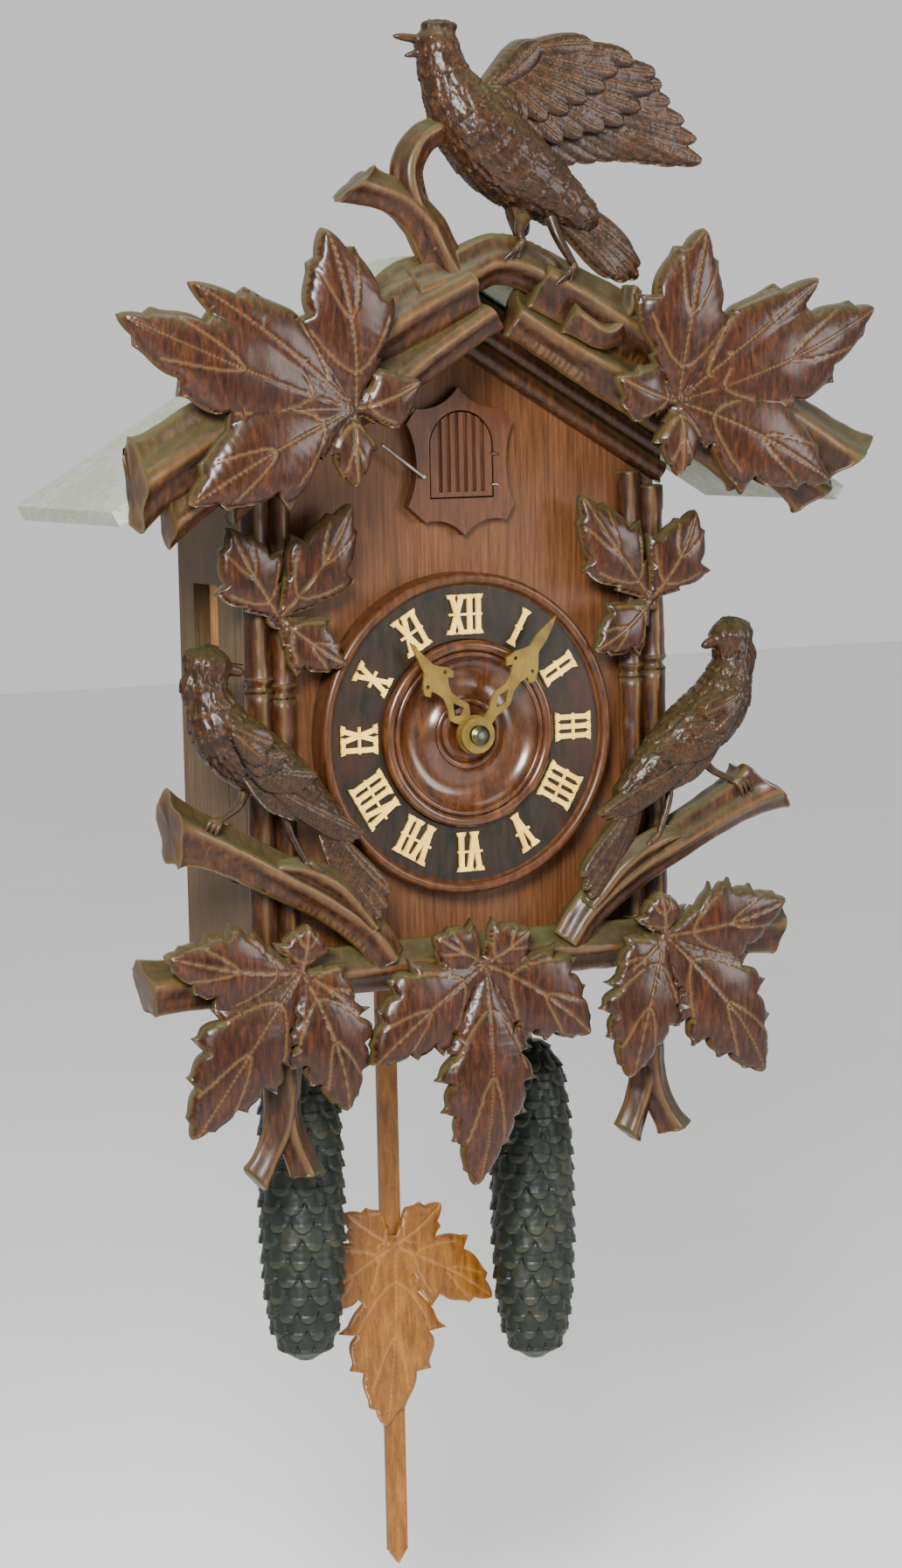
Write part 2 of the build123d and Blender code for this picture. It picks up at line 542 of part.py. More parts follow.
def hand(half, tip, piercing, eyes, degrees, y_back, disc_r, bore_r):
    """Pierced bone hand: a scrolled leaf on a pierced neck and a disc."""
    shape = [(-x, z) for x, z in half] + [(0, tip)] + list(reversed(half))
    with BuildPart() as pointer:
        with BuildSketch(facing(y_back)):
            outline(turned(shape, degrees, 0))
            with Locations((0, DIAL_Z)):
                Circle(disc_r)
                Circle(bore_r, mode=Mode.SUBTRACT)
            with Locations(*turned(eyes, degrees, 0)):
                Circle(0.9, mode=Mode.SUBTRACT)
        extrude(amount=HAND_T)
        with BuildSketch(facing(y_back)):
            outline(turned(piercing, degrees, 0))
        extrude(amount=HAND_T, mode=Mode.SUBTRACT)
    return pointer


HOUR_EYES, MINUTE_EYES = ((-5.0, 30.2), (5.0, 30.2)), ((-5.0, 36.6), (5.0, 36.6))
save(hand(HOUR_HALF, HOUR_TIP, HOUR_PIERCING, HOUR_EYES, HOUR_ANGLE, HOUR_HAND_Y, 8.4, PIPE_R), "hour_hand")
save(hand(MINUTE_HALF, MINUTE_TIP, MINUTE_PIERCING, MINUTE_EYES, MINUTE_ANGLE, MINUTE_HAND_Y, 7.8, ARBOR_R),
     "minute_hand")

with BuildPart() as hand_nut:
    rod((0, MINUTE_HAND_Y - HAND_T, DIAL_Z), (0, MINUTE_HAND_Y - HAND_T - 2.2, DIAL_Z), 4.3)
    rod((0, MINUTE_HAND_Y - HAND_T - 2.2, DIAL_Z), (0, MINUTE_HAND_Y - HAND_T - 3.4, DIAL_Z), 4.3, 2.6)
    rod((0, MINUTE_HAND_Y - HAND_T + 1, DIAL_Z), (0, MINUTE_HAND_Y - HAND_T - 5, DIAL_Z), ARBOR_R,
        mode=Mode.SUBTRACT)
save(hand_nut, "hand_nut")

# ---- motion work --------------------------------------------------------------------------
CANNON_TEETH, MINUTE_TEETH, CANNON_MODULE = 12, 36, 0.625
PINION_TEETH, HOUR_TEETH, HOUR_MODULE = 10, 40, 0.6
MOTION_DISTANCE = (CANNON_TEETH + MINUTE_TEETH) * CANNON_MODULE / 2
MOTION_TURN = 143.0
STUD_X = MOTION_DISTANCE * math.cos(math.radians(MOTION_TURN))
STUD_Z = DIAL_Z + MOTION_DISTANCE * math.sin(math.radians(MOTION_TURN))
CANNON_Y = FRONT_PLATE_Y - 0.8
HOUR_WHEEL_Y = CANNON_Y - 3.0
GEAR_T = 2.0

with BuildPart() as minute_arbor:
    rod((0, BACK_PLATE_Y + PLATE_T, DIAL_Z), (0, MINUTE_HAND_Y - HAND_T - 3.2, DIAL_Z), ARBOR_R)
    add(wheel(0, DIAL_Z, CANNON_Y, GEAR_T, tooth_ring(CANNON_TEETH, CANNON_MODULE, MOTION_TURN)))
save(minute_arbor, "minute_arbor")

with BuildPart() as minute_wheel:
    add(wheel(STUD_X, STUD_Z, CANNON_Y, GEAR_T,
              tooth_ring(MINUTE_TEETH, CANNON_MODULE, MOTION_TURN + 180 + 180 / MINUTE_TEETH), 1.0 + RUN_GAP))
    add(wheel(STUD_X, STUD_Z, CANNON_Y - GEAR_T, 3.0,
              tooth_ring(PINION_TEETH, HOUR_MODULE, MOTION_TURN + 180), 1.0 + RUN_GAP))
save(minute_wheel, "minute_wheel")

with BuildPart() as hour_wheel:
    add(wheel(0, DIAL_Z, HOUR_WHEEL_Y, GEAR_T,
              tooth_ring(HOUR_TEETH, HOUR_MODULE, MOTION_TURN + 180 / HOUR_TEETH)))
    rod((0, HOUR_WHEEL_Y, DIAL_Z), (0, HOUR_HAND_Y - HAND_T, DIAL_Z), PIPE_R)
    rod((0, HOUR_WHEEL_Y + 1, DIAL_Z), (0, HOUR_HAND_Y - HAND_T - 1, DIAL_Z), ARBOR_R + RUN_GAP,
        mode=Mode.SUBTRACT)
save(hour_wheel, "hour_wheel")

# ---- movement plates and trains -----------------------------------------------------------
PLATE_X = 58.0
PLATE_LOW, PLATE_HIGH = dz(-52), dz(46)
VERGE_Z = dz(36)
ESCAPE_Z = dz(20)
HAMMER_PIVOT = (52.0, dz(40))
PIVOTS = ((0, DIAL_Z), (TIME_X, SPROCKET_Z), (STRIKE_X, SPROCKET_Z), (PENDULUM_X, ESCAPE_Z),
          (PENDULUM_X, VERGE_Z))


def plate_points():
    """Rectangular plate with cut corners."""
    cut = 6
    return [(-PLATE_X + cut, PLATE_LOW), (PLATE_X - cut, PLATE_LOW), (PLATE_X, PLATE_LOW + cut),
            (PLATE_X, PLATE_HIGH - cut), (PLATE_X - cut, PLATE_HIGH), (-PLATE_X + cut, PLATE_HIGH),
            (-PLATE_X, PLATE_HIGH - cut), (-PLATE_X, PLATE_LOW + cut)]


with BuildPart() as movement_front_plate:
    add(slab(plate_points(), FRONT_PLATE_Y + PLATE_T, PLATE_T))
    for pivot_x, pivot_z in PIVOTS:
        rod((pivot_x, FRONT_PLATE_Y - 1, pivot_z), (pivot_x, FRONT_PLATE_Y + PLATE_T + 1, pivot_z),
            ARBOR_R + RUN_GAP, mode=Mode.SUBTRACT)
    rod((STUD_X, FRONT_PLATE_Y + 0.5, STUD_Z), (STUD_X, CANNON_Y - GEAR_T - 3.6, STUD_Z), 1.0)
    for post_x in (-48, 48):
        for post_z in (PLATE_LOW + 10, PLATE_HIGH - 10):
            rod((post_x, FRONT_PLATE_Y, post_z), (post_x, INNER_FRONT_Y, post_z), 3.0)
save(movement_front_plate, "movement_front_plate")

with BuildPart() as movement_back_plate:
    add(slab(plate_points(), BACK_PLATE_Y + PLATE_T, PLATE_T))
    for pivot_x, pivot_z in PIVOTS:
        rod((pivot_x, BACK_PLATE_Y - 1, pivot_z), (pivot_x, BACK_PLATE_Y + PLATE_T + 1, pivot_z),
            ARBOR_R + RUN_GAP, mode=Mode.SUBTRACT)
    for post_x in (-44, 44):
        for post_z in (PLATE_LOW + 6, PLATE_HIGH - 18):
            rod((post_x, BACK_PLATE_Y, post_z), (post_x, FRONT_PLATE_Y + PLATE_T, post_z), 2.3)
    rod((PENDULUM_X, BACK_PLATE_Y + 0.5, PENDULUM_TOP), (PENDULUM_X, PENDULUM_Y + 2.2, PENDULUM_TOP), 1.2)
    rod((HAMMER_PIVOT[0], BACK_PLATE_Y + 0.5, HAMMER_PIVOT[1]),
        (HAMMER_PIVOT[0], BACK_PLATE_Y + 10, HAMMER_PIVOT[1]), 1.2)
save(movement_back_plate, "movement_back_plate")

GREAT_TEETH, GREAT_MODULE = 60, 0.5
for centre_x, name in ((TIME_X, "time_great_wheel"), (STRIKE_X, "strike_great_wheel")):
    with BuildPart() as great_wheel:
        rod((centre_x, FRONT_PLATE_Y, SPROCKET_Z), (centre_x, BACK_PLATE_Y + PLATE_T, SPROCKET_Z), ARBOR_R)
        add(wheel(centre_x, SPROCKET_Z, FRONT_PLATE_Y + 8, 2.0, tooth_ring(GREAT_TEETH, GREAT_MODULE, 0)))
        for flange_y in (CHAIN_Y - 5.6, CHAIN_Y + 4.4):
            rod((centre_x, flange_y, SPROCKET_Z), (centre_x, flange_y + 1.2, SPROCKET_Z), SPROCKET_R + 1.0)
        rod((centre_x, CHAIN_Y - 5, SPROCKET_Z), (centre_x, CHAIN_Y + 5, SPROCKET_Z), SPROCKET_R - 5.5)
        for k in range(8):
            angle = math.radians(45 * k)
            rod((centre_x, CHAIN_Y, SPROCKET_Z),
                (centre_x + (SPROCKET_R - 4.2) * math.cos(angle), CHAIN_Y,
                 SPROCKET_Z + (SPROCKET_R - 4.2) * math.sin(angle)), 0.9)
    save(great_wheel, name)

ESCAPE_R = 9.0
ESCAPE_TEETH = 24
ESCAPE_Y = BACK_PLATE_Y - 5
escape_points = []
for k in range(ESCAPE_TEETH):
    base = 2 * math.pi * k / ESCAPE_TEETH
    escape_points.append((ESCAPE_R * math.cos(base), ESCAPE_R * math.sin(base)))
    escape_points.append((7.2 * math.cos(base + 0.06), 7.2 * math.sin(base + 0.06)))
    escape_points.append((7.2 * math.cos(base + 0.2), 7.2 * math.sin(base + 0.2)))
with BuildPart() as escape_wheel:
    rod((PENDULUM_X, FRONT_PLATE_Y, ESCAPE_Z), (PENDULUM_X, BACK_PLATE_Y + PLATE_T, ESCAPE_Z), ARBOR_R)
    add(wheel(PENDULUM_X, ESCAPE_Z, ESCAPE_Y, 1.4, escape_points))
save(escape_wheel, "escape_wheel")

CRUTCH_Z = dz(-5)
with BuildPart() as verge_crutch:
    rod((PENDULUM_X, FRONT_PLATE_Y, VERGE_Z), (PENDULUM_X, BACK_PLATE_Y + PLATE_T + 4, VERGE_Z), ARBOR_R)
    for sign in (-1, 1):
        arm = [(PENDULUM_X, VERGE_Z + 1.2), (PENDULUM_X + sign * 11.5, VERGE_Z - 8.6),
               (PENDULUM_X + sign * 11.5, VERGE_Z - 13), (PENDULUM_X + sign * 10.3, VERGE_Z - 13),
               (PENDULUM_X + sign * 10.0, VERGE_Z - 9.2), (PENDULUM_X, VERGE_Z - 2.4)]
        add(slab(arm, ESCAPE_Y + 1, 3.4))
    rod((PENDULUM_X, BACK_PLATE_Y + PLATE_T + 3, VERGE_Z),
        (PENDULUM_X, BACK_PLATE_Y + PLATE_T + 3, CRUTCH_Z), 0.9)
    rod((PENDULUM_X - 3.0, BACK_PLATE_Y + PLATE_T + 3, CRUTCH_Z),
        (PENDULUM_X + 3.0, BACK_PLATE_Y + PLATE_T + 3, CRUTCH_Z), 0.9)
    for sign in (-1, 1):
        rod((PENDULUM_X + sign * 2.4, BACK_PLATE_Y + PLATE_T + 3, CRUTCH_Z),
            (PENDULUM_X + sign * 2.4, PENDULUM_Y + 2.2, CRUTCH_Z), 0.8)
save(verge_crutch, "verge_crutch")

# ---- gong and hammer ----------------------------------------------------------------------
GONG_X, GONG_Z = 34.0, dz(0)
GONG_Y = PENDULUM_Y + 1.0
with BuildPart() as gong:
    with BuildLine() as coil:
        radius = 12.0
        turn_x = GONG_X
        start = (turn_x + radius, GONG_Z)
        for half in range(7):
            grow = 2.6
            sign = 1 if half % 2 == 0 else -1
            end_x = start[0] - sign * 2 * radius
            middle = ((start[0] + end_x) / 2, GONG_Z + sign * radius)
            ThreePointArc((start[0], GONG_Y, start[1]), (middle[0], GONG_Y, middle[1]),
                          (end_x, GONG_Y, GONG_Z))
            start = (end_x, GONG_Z)
            radius += grow
    with BuildSketch(Plane(origin=(GONG_X + 12.0, GONG_Y, GONG_Z), z_dir=(0, 0, 1))):
        Circle(1.0)
    sweep(path=coil.line)
    box_between((GONG_X + 5, GONG_Y - 3, GONG_Z - 7), (GONG_X + 15, -BACK_T, GONG_Z))
save(gong, "gong")

HAMMER_HEAD = (61.0, dz(21))
HAMMER_Y = GONG_Y
with BuildPart() as gong_hammer:
    rod((HAMMER_PIVOT[0], BACK_PLATE_Y + PLATE_T + 1, HAMMER_PIVOT[1]),
        (HAMMER_PIVOT[0], BACK_PLATE_Y + PLATE_T + 7, HAMMER_PIVOT[1]), 3.0)
    rod((HAMMER_PIVOT[0], HAMMER_Y - 4.5, HAMMER_PIVOT[1]),
        (HAMMER_HEAD[0], HAMMER_Y - 4.5, HAMMER_HEAD[1]), 0.9)
    rod((HAMMER_HEAD[0], HAMMER_Y - 5.5, HAMMER_HEAD[1]),
        (HAMMER_HEAD[0], HAMMER_Y + 2.5, HAMMER_HEAD[1]), 3.6)
    rod((HAMMER_PIVOT[0], BACK_PLATE_Y, HAMMER_PIVOT[1]),
        (HAMMER_PIVOT[0], BACK_PLATE_Y + 12, HAMMER_PIVOT[1]), 1.2 + RUN_GAP, mode=Mode.SUBTRACT)
save(gong_hammer, "gong_hammer")

# ---- whistles and bellows -----------------------------------------------------------------
WHISTLE_X0, WHISTLE_X1 = 68.0, INNER_W - 0.5
WHISTLE_Y0, WHISTLE_Y1 = -46.0, -16.0
WHISTLE_LOW, WHISTLE_TOP = dz(-60), dz(70)
with BuildPart() as whistle_boxes:
    for side in (-1, 1):
        low_x, high_x = sorted((side * WHISTLE_X0, side * WHISTLE_X1))
        box_between((low_x, WHISTLE_Y0, WHISTLE_LOW), (high_x, WHISTLE_Y1, WHISTLE_TOP))
        box_between((low_x + 2, WHISTLE_Y0 + 2, WHISTLE_LOW + 2),
                    (high_x - 2, WHISTLE_Y1 - 2, WHISTLE_TOP - 8), Mode.SUBTRACT)
        box_between((low_x + 5, WHISTLE_Y0 - 1, WHISTLE_TOP - 24),
                    (high_x - 5, WHISTLE_Y0 + 4, WHISTLE_TOP - 16), Mode.SUBTRACT)
save(whistle_boxes, "whistle_boxes")

for side, side_name in ((-1, "left"), (1, "right")):
    low_x, high_x = sorted((side * WHISTLE_X0, side * WHISTLE_X1))
    with BuildPart() as bellows_top:
        box_between((low_x, WHISTLE_Y0, WHISTLE_TOP + 7), (high_x, WHISTLE_Y1, WHISTLE_TOP + 11))
        rod(((low_x + high_x) / 2, WHISTLE_Y0 + 8, WHISTLE_TOP + 10),
            ((low_x + high_x) / 2, WHISTLE_Y0 + 8, WHISTLE_TOP + 15), 4.5)
    save(bellows_top, f"bellows_top_{side_name}")

# ---- cuckoo door, shield and bird ---------------------------------------------------------
SHIELD_FRONT_Y = PANEL_Y - 5.0
LATCH_PIVOT = (DOOR_X - 19.0, dz(110))
LATCH_TIP = (DOOR_X - 38.0, dz(124))
LATCH_Y = SHIELD_FRONT_Y - 1.6
LATCH_PIN_R = 0.9
with BuildPart() as door_shield:
    with BuildSketch(facing(PANEL_Y)):
        with BuildLine():
            left, right, top, foot = DOOR_X - 25.5, DOOR_X + 25.0, dz(138.5), dz(93.5)
            Spline((left + 4.5, top), (DOOR_X - 10, dz(140.2)), (DOOR_X - 1, dz(147.5)))
            Spline((DOOR_X - 1, dz(147.5)), (DOOR_X + 8, dz(140.2)), (right - 5, top))
            Line((right - 5, top), (right, top - 6))
            ThreePointArc((right, top - 6), (right - 3.6, dz(117)), (right, foot + 4))
            Line((right, foot + 4), (right - 4, foot - 3))
            Spline((right - 4, foot - 3), (DOOR_X + 9, dz(90.3)), (DOOR_X + 1, dz(84.5)))
            Spline((DOOR_X + 1, dz(84.5)), (DOOR_X - 8, dz(90.3)), (left + 8, foot - 3))
            Line((left + 8, foot - 3), (left, foot + 4))
            ThreePointArc((left, foot + 4), (left + 4.2, dz(117)), (left, top - 6))
            Line((left, top - 6), (left + 4.5, top))
        make_face()
        with Locations((DOOR_X, DOOR_SPRING_Z)):
            Circle(DOOR_HALF_W + DOOR_GAP, mode=Mode.SUBTRACT)
        with Locations((DOOR_X, (DOOR_SILL_Z - DOOR_GAP + DOOR_SPRING_Z) / 2)):
            Rectangle(2 * (DOOR_HALF_W + DOOR_GAP), DOOR_SPRING_Z - DOOR_SILL_Z + DOOR_GAP,
                      mode=Mode.SUBTRACT)
    extrude(amount=PANEL_Y - SHIELD_FRONT_Y)
    rod((LATCH_PIVOT[0], PANEL_Y - 1, LATCH_PIVOT[1]), (LATCH_PIVOT[0], SHIELD_FRONT_Y - 1, LATCH_PIVOT[1]),
        LATCH_PIN_R + RUN_GAP, mode=Mode.SUBTRACT)
save(door_shield, "door_shield")

DOOR_HINGE_X = DOOR_X + DOOR_HALF_W + 0.5
with BuildPart() as cuckoo_door:
    with BuildSketch(facing(SHIELD_FRONT_Y + DOOR_T + 0.3)):
        with Locations((DOOR_X, DOOR_SPRING_Z)):
            Circle(DOOR_HALF_W)
        with Locations((DOOR_X, (DOOR_SILL_Z + DOOR_SPRING_Z) / 2)):
            Rectangle(2 * DOOR_HALF_W, DOOR_SPRING_Z - DOOR_SILL_Z)
        with Locations((DOOR_X, DOOR_SILL_Z - 20)):
            Rectangle(3 * DOOR_HALF_W, 40, mode=Mode.SUBTRACT)
    extrude(amount=DOOR_T)
    for k in range(6):
        groove_x = DOOR_X - DOOR_HALF_W + 4.6 + 4.0 * k
        box_between((groove_x - 0.9, SHIELD_FRONT_Y - 1, DOOR_SILL_Z + 2),
                    (groove_x + 0.9, SHIELD_FRONT_Y + 1.8, dz(140)), Mode.SUBTRACT)
save(cuckoo_door, "cuckoo_door")

with BuildPart() as door_latch_wire:
    rod((LATCH_PIVOT[0], PANEL_Y - 1.5, LATCH_PIVOT[1]), (LATCH_PIVOT[0], LATCH_Y - 0.7, LATCH_PIVOT[1]),
        LATCH_PIN_R)
    rod((LATCH_PIVOT[0], LATCH_Y, LATCH_PIVOT[1]), (LATCH_TIP[0], LATCH_Y, LATCH_TIP[1]), 0.7)
save(door_latch_wire, "door_latch_wire")

SHELF_TOP = dz(101.2)
BIRD_REST_Y = -30.0
with BuildPart() as bird_shelf:
    box_between((DOOR_X - 13, INNER_FRONT_Y, SHELF_TOP - 4), (DOOR_X + 13, -11, SHELF_TOP))
    for sign in (-1, 1):
        near, far = sorted((sign * 5.5, sign * 8))
        box_between((DOOR_X + near, INNER_FRONT_Y, SHELF_TOP - 0.5), (DOOR_X + far, -11, SHELF_TOP + 1.5))
save(bird_shelf, "bird_shelf")

with BuildPart() as cuckoo_bird:
    box_between((DOOR_X - 5, BIRD_REST_Y - 26, SHELF_TOP + 0.3),
                (DOOR_X + 5, BIRD_REST_Y + 14, SHELF_TOP + 3.3))
    rod((DOOR_X, BIRD_REST_Y - 10, SHELF_TOP + 2), (DOOR_X, BIRD_REST_Y - 10, SHELF_TOP + 9), 1.5)
    limb([((DOOR_X, BIRD_REST_Y + 2, SHELF_TOP + 12), 6), ((DOOR_X, BIRD_REST_Y - 10, SHELF_TOP + 15), 7.5),
          ((DOOR_X, BIRD_REST_Y - 18, SHELF_TOP + 21), 6)], round_ends=True)
    rod((DOOR_X, BIRD_REST_Y - 22, SHELF_TOP + 21.5), (DOOR_X, BIRD_REST_Y - 30, SHELF_TOP + 20.5), 2.2, 0.5)
    rod((DOOR_X, BIRD_REST_Y + 2, SHELF_TOP + 12), (DOOR_X, BIRD_REST_Y + 16, SHELF_TOP + 9), 4.5, 2.5)
save(cuckoo_bird, "cuckoo_bird")

# ---- chains, weights and pendulum ---------------------------------------------------------
LINK_LENGTH = LINK_PITCH + 2 * LINK_WIRE + 0.2


def chain_link(x, z, quarter_turn):
    """One oval wire link, standing upright, in the XZ plane or turned a quarter about Z."""
    straight = LINK_LENGTH - LINK_WIDTH
    path_r = (LINK_WIDTH - LINK_WIRE) / 2
    base = Plane(origin=(x, CHAIN_Y, z), x_dir=(0, 1, 0) if quarter_turn else (1, 0, 0),
                 z_dir=(1, 0, 0) if quarter_turn else (0, -1, 0))
    with BuildPart() as link:
        with BuildLine(base) as path:
            Line((path_r, -straight / 2), (path_r, straight / 2))
            ThreePointArc((path_r, straight / 2), (0, straight / 2 + path_r), (-path_r, straight / 2))
            Line((-path_r, straight / 2), (-path_r, -straight / 2))
            ThreePointArc((-path_r, -straight / 2), (0, -straight / 2 - path_r), (path_r, -straight / 2))
        with BuildSketch(Plane(origin=path.line @ 0, z_dir=path.line % 0)):
            Circle(LINK_WIRE / 2)
        sweep(path=path.line)
    return link.part


def chain(x, low_z, top_z):
    """Run of links upward from the middle of the lowest one, which is turned across its ring."""
    count = int((top_z - low_z) / LINK_PITCH)
    return [chain_link(x, low_z + k * LINK_PITCH, k % 2 == 0) for k in range(count)]


def ring(x, z, radius, wire):
    """Wire ring in the XZ plane."""
    with BuildPart() as loop:
        with Locations(Plane(origin=(x, CHAIN_Y, z), z_dir=(0, 1, 0))):
            Torus(radius, wire)
    return loop.part


TRAVEL = 34.0                                     # how far a weight can drop on the modelled chain
HOOK_RISE = 12.0
HOOK_R = 4.2
PULL_R = 5.5
PULL_Z = dz(-145)
RING_WIRE = 1.0
# ring middle to link middle, less the ring radius
LINK_SEAT = LINK_LENGTH / 2 - LINK_WIRE - RING_WIRE - 0.05
for wheel_x, hang, cone_top, train, cone_side in ((TIME_X, -1, TIME_CONE_TOP, "time", "left"),
                                                   (STRIKE_X, 1, STRIKE_CONE_TOP, "strike", "right")):
    weight_x = wheel_x + hang * SPROCKET_R
    free_x = wheel_x - hang * SPROCKET_R
    hook_z = cone_top + HOOK_RISE
    with BuildPart() as cone_weight:
        with BuildSketch(Plane(origin=(weight_x, CHAIN_Y, 0), x_dir=(1, 0, 0), z_dir=(0, -1, 0))):
            with BuildLine():
                Polyline((2, cone_top - CONE_LENGTH), (0, cone_top - CONE_LENGTH), (0, cone_top),
                         (7, cone_top), (15.5, cone_top - 14))
                ThreePointArc((15.5, cone_top - 14), (CONE_R, cone_top - 58), (17.0, cone_top - 108))
                ThreePointArc((17.0, cone_top - 108), (11.5, cone_top - 135), (2, cone_top - CONE_LENGTH))
            make_face()
        revolve(axis=Axis((weight_x, CHAIN_Y, 0), (0, 0, 1)))
    save(cone_weight, f"cone_weight_{cone_side}")
    with BuildPart() as weight_chain:
        rod((weight_x, CHAIN_Y, cone_top), (weight_x, CHAIN_Y, hook_z - HOOK_R), 1.2)
        add(ring(weight_x, hook_z, HOOK_R, RING_WIRE))
        add(chain(weight_x, hook_z + HOOK_R + LINK_SEAT, SPROCKET_Z + TRAVEL + 8))
    save(weight_chain, f"{train}_chain")
    with BuildPart() as free_end:
        add(ring(free_x, PULL_Z, PULL_R, RING_WIRE))
        add(chain(free_x, PULL_Z + PULL_R + LINK_SEAT, SPROCKET_Z + 4))
    save(free_end, f"{train}_chain_free_end")

ROD_W, ROD_T = 9.4, 3.0
ROD_TOP = BOTTOM_Z - 4
with BuildPart() as pendulum_rod:
    rod((PENDULUM_X, PENDULUM_Y - 0.7, PENDULUM_TOP), (PENDULUM_X, PENDULUM_Y + 0.7, PENDULUM_TOP), 3.4)
    rod((PENDULUM_X, PENDULUM_Y, PENDULUM_TOP - 1.5), (PENDULUM_X, PENDULUM_Y, ROD_TOP - 14), 0.9)
    add(slab([(PENDULUM_X - ROD_W / 2, ROD_TOP), (PENDULUM_X + ROD_W / 2, ROD_TOP),
              (PENDULUM_X + ROD_W / 2, PENDULUM_TIP + 7), (PENDULUM_X, PENDULUM_TIP),
              (PENDULUM_X - ROD_W / 2, PENDULUM_TIP + 7)], PENDULUM_Y + ROD_T / 2, ROD_T))
    rod((PENDULUM_X, PENDULUM_Y - 3, PENDULUM_TOP), (PENDULUM_X, PENDULUM_Y + 3, PENDULUM_TOP),
        1.2 + RUN_GAP, mode=Mode.SUBTRACT)
save(pendulum_rod, "pendulum_rod")
save(leaf(PENDULUM_LEAF[0], PENDULUM_LEAF[1], PENDULUM_Y - ROD_T / 2, 3.0), "pendulum_leaf")
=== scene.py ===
import json
import math

import bmesh
import bpy
import numpy as np
from mathutils import Matrix, Vector, geometry, noise


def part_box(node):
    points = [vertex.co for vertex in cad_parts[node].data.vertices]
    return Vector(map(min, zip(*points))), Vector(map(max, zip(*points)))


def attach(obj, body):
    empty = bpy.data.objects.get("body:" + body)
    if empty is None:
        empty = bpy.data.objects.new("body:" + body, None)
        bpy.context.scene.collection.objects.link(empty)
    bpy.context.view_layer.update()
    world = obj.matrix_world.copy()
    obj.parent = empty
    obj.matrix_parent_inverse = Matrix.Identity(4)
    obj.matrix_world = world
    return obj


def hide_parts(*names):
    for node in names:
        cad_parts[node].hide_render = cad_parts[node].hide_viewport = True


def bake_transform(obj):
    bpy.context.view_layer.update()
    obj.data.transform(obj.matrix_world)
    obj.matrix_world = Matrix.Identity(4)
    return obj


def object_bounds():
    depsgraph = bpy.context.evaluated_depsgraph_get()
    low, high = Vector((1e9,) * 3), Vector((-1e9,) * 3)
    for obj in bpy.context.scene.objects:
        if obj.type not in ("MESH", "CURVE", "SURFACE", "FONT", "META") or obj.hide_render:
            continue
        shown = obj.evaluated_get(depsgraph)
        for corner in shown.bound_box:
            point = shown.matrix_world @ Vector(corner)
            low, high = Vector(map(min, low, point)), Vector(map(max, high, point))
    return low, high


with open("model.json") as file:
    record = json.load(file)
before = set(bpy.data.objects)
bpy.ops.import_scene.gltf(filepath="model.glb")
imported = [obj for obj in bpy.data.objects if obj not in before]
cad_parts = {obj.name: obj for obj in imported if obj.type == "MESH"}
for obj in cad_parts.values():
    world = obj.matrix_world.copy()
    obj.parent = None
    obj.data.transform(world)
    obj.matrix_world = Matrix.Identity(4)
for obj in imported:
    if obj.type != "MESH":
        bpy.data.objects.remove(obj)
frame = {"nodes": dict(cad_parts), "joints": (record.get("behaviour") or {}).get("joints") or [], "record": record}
cad_low, cad_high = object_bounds()
JOINTS = {j["name"]: j for j in frame["joints"]}

# Shapes are written in millimetres: x to the right, y into the wall, and heights from the dial centre.
DIAL = JOINTS["minute_hand_turn"]["pos_m"][2] * 1000


# ---- materials ----------------------------------------------------------------------------
SPECULAR = 0.22     # low, so that the pale surroundings don't veil the dark wood


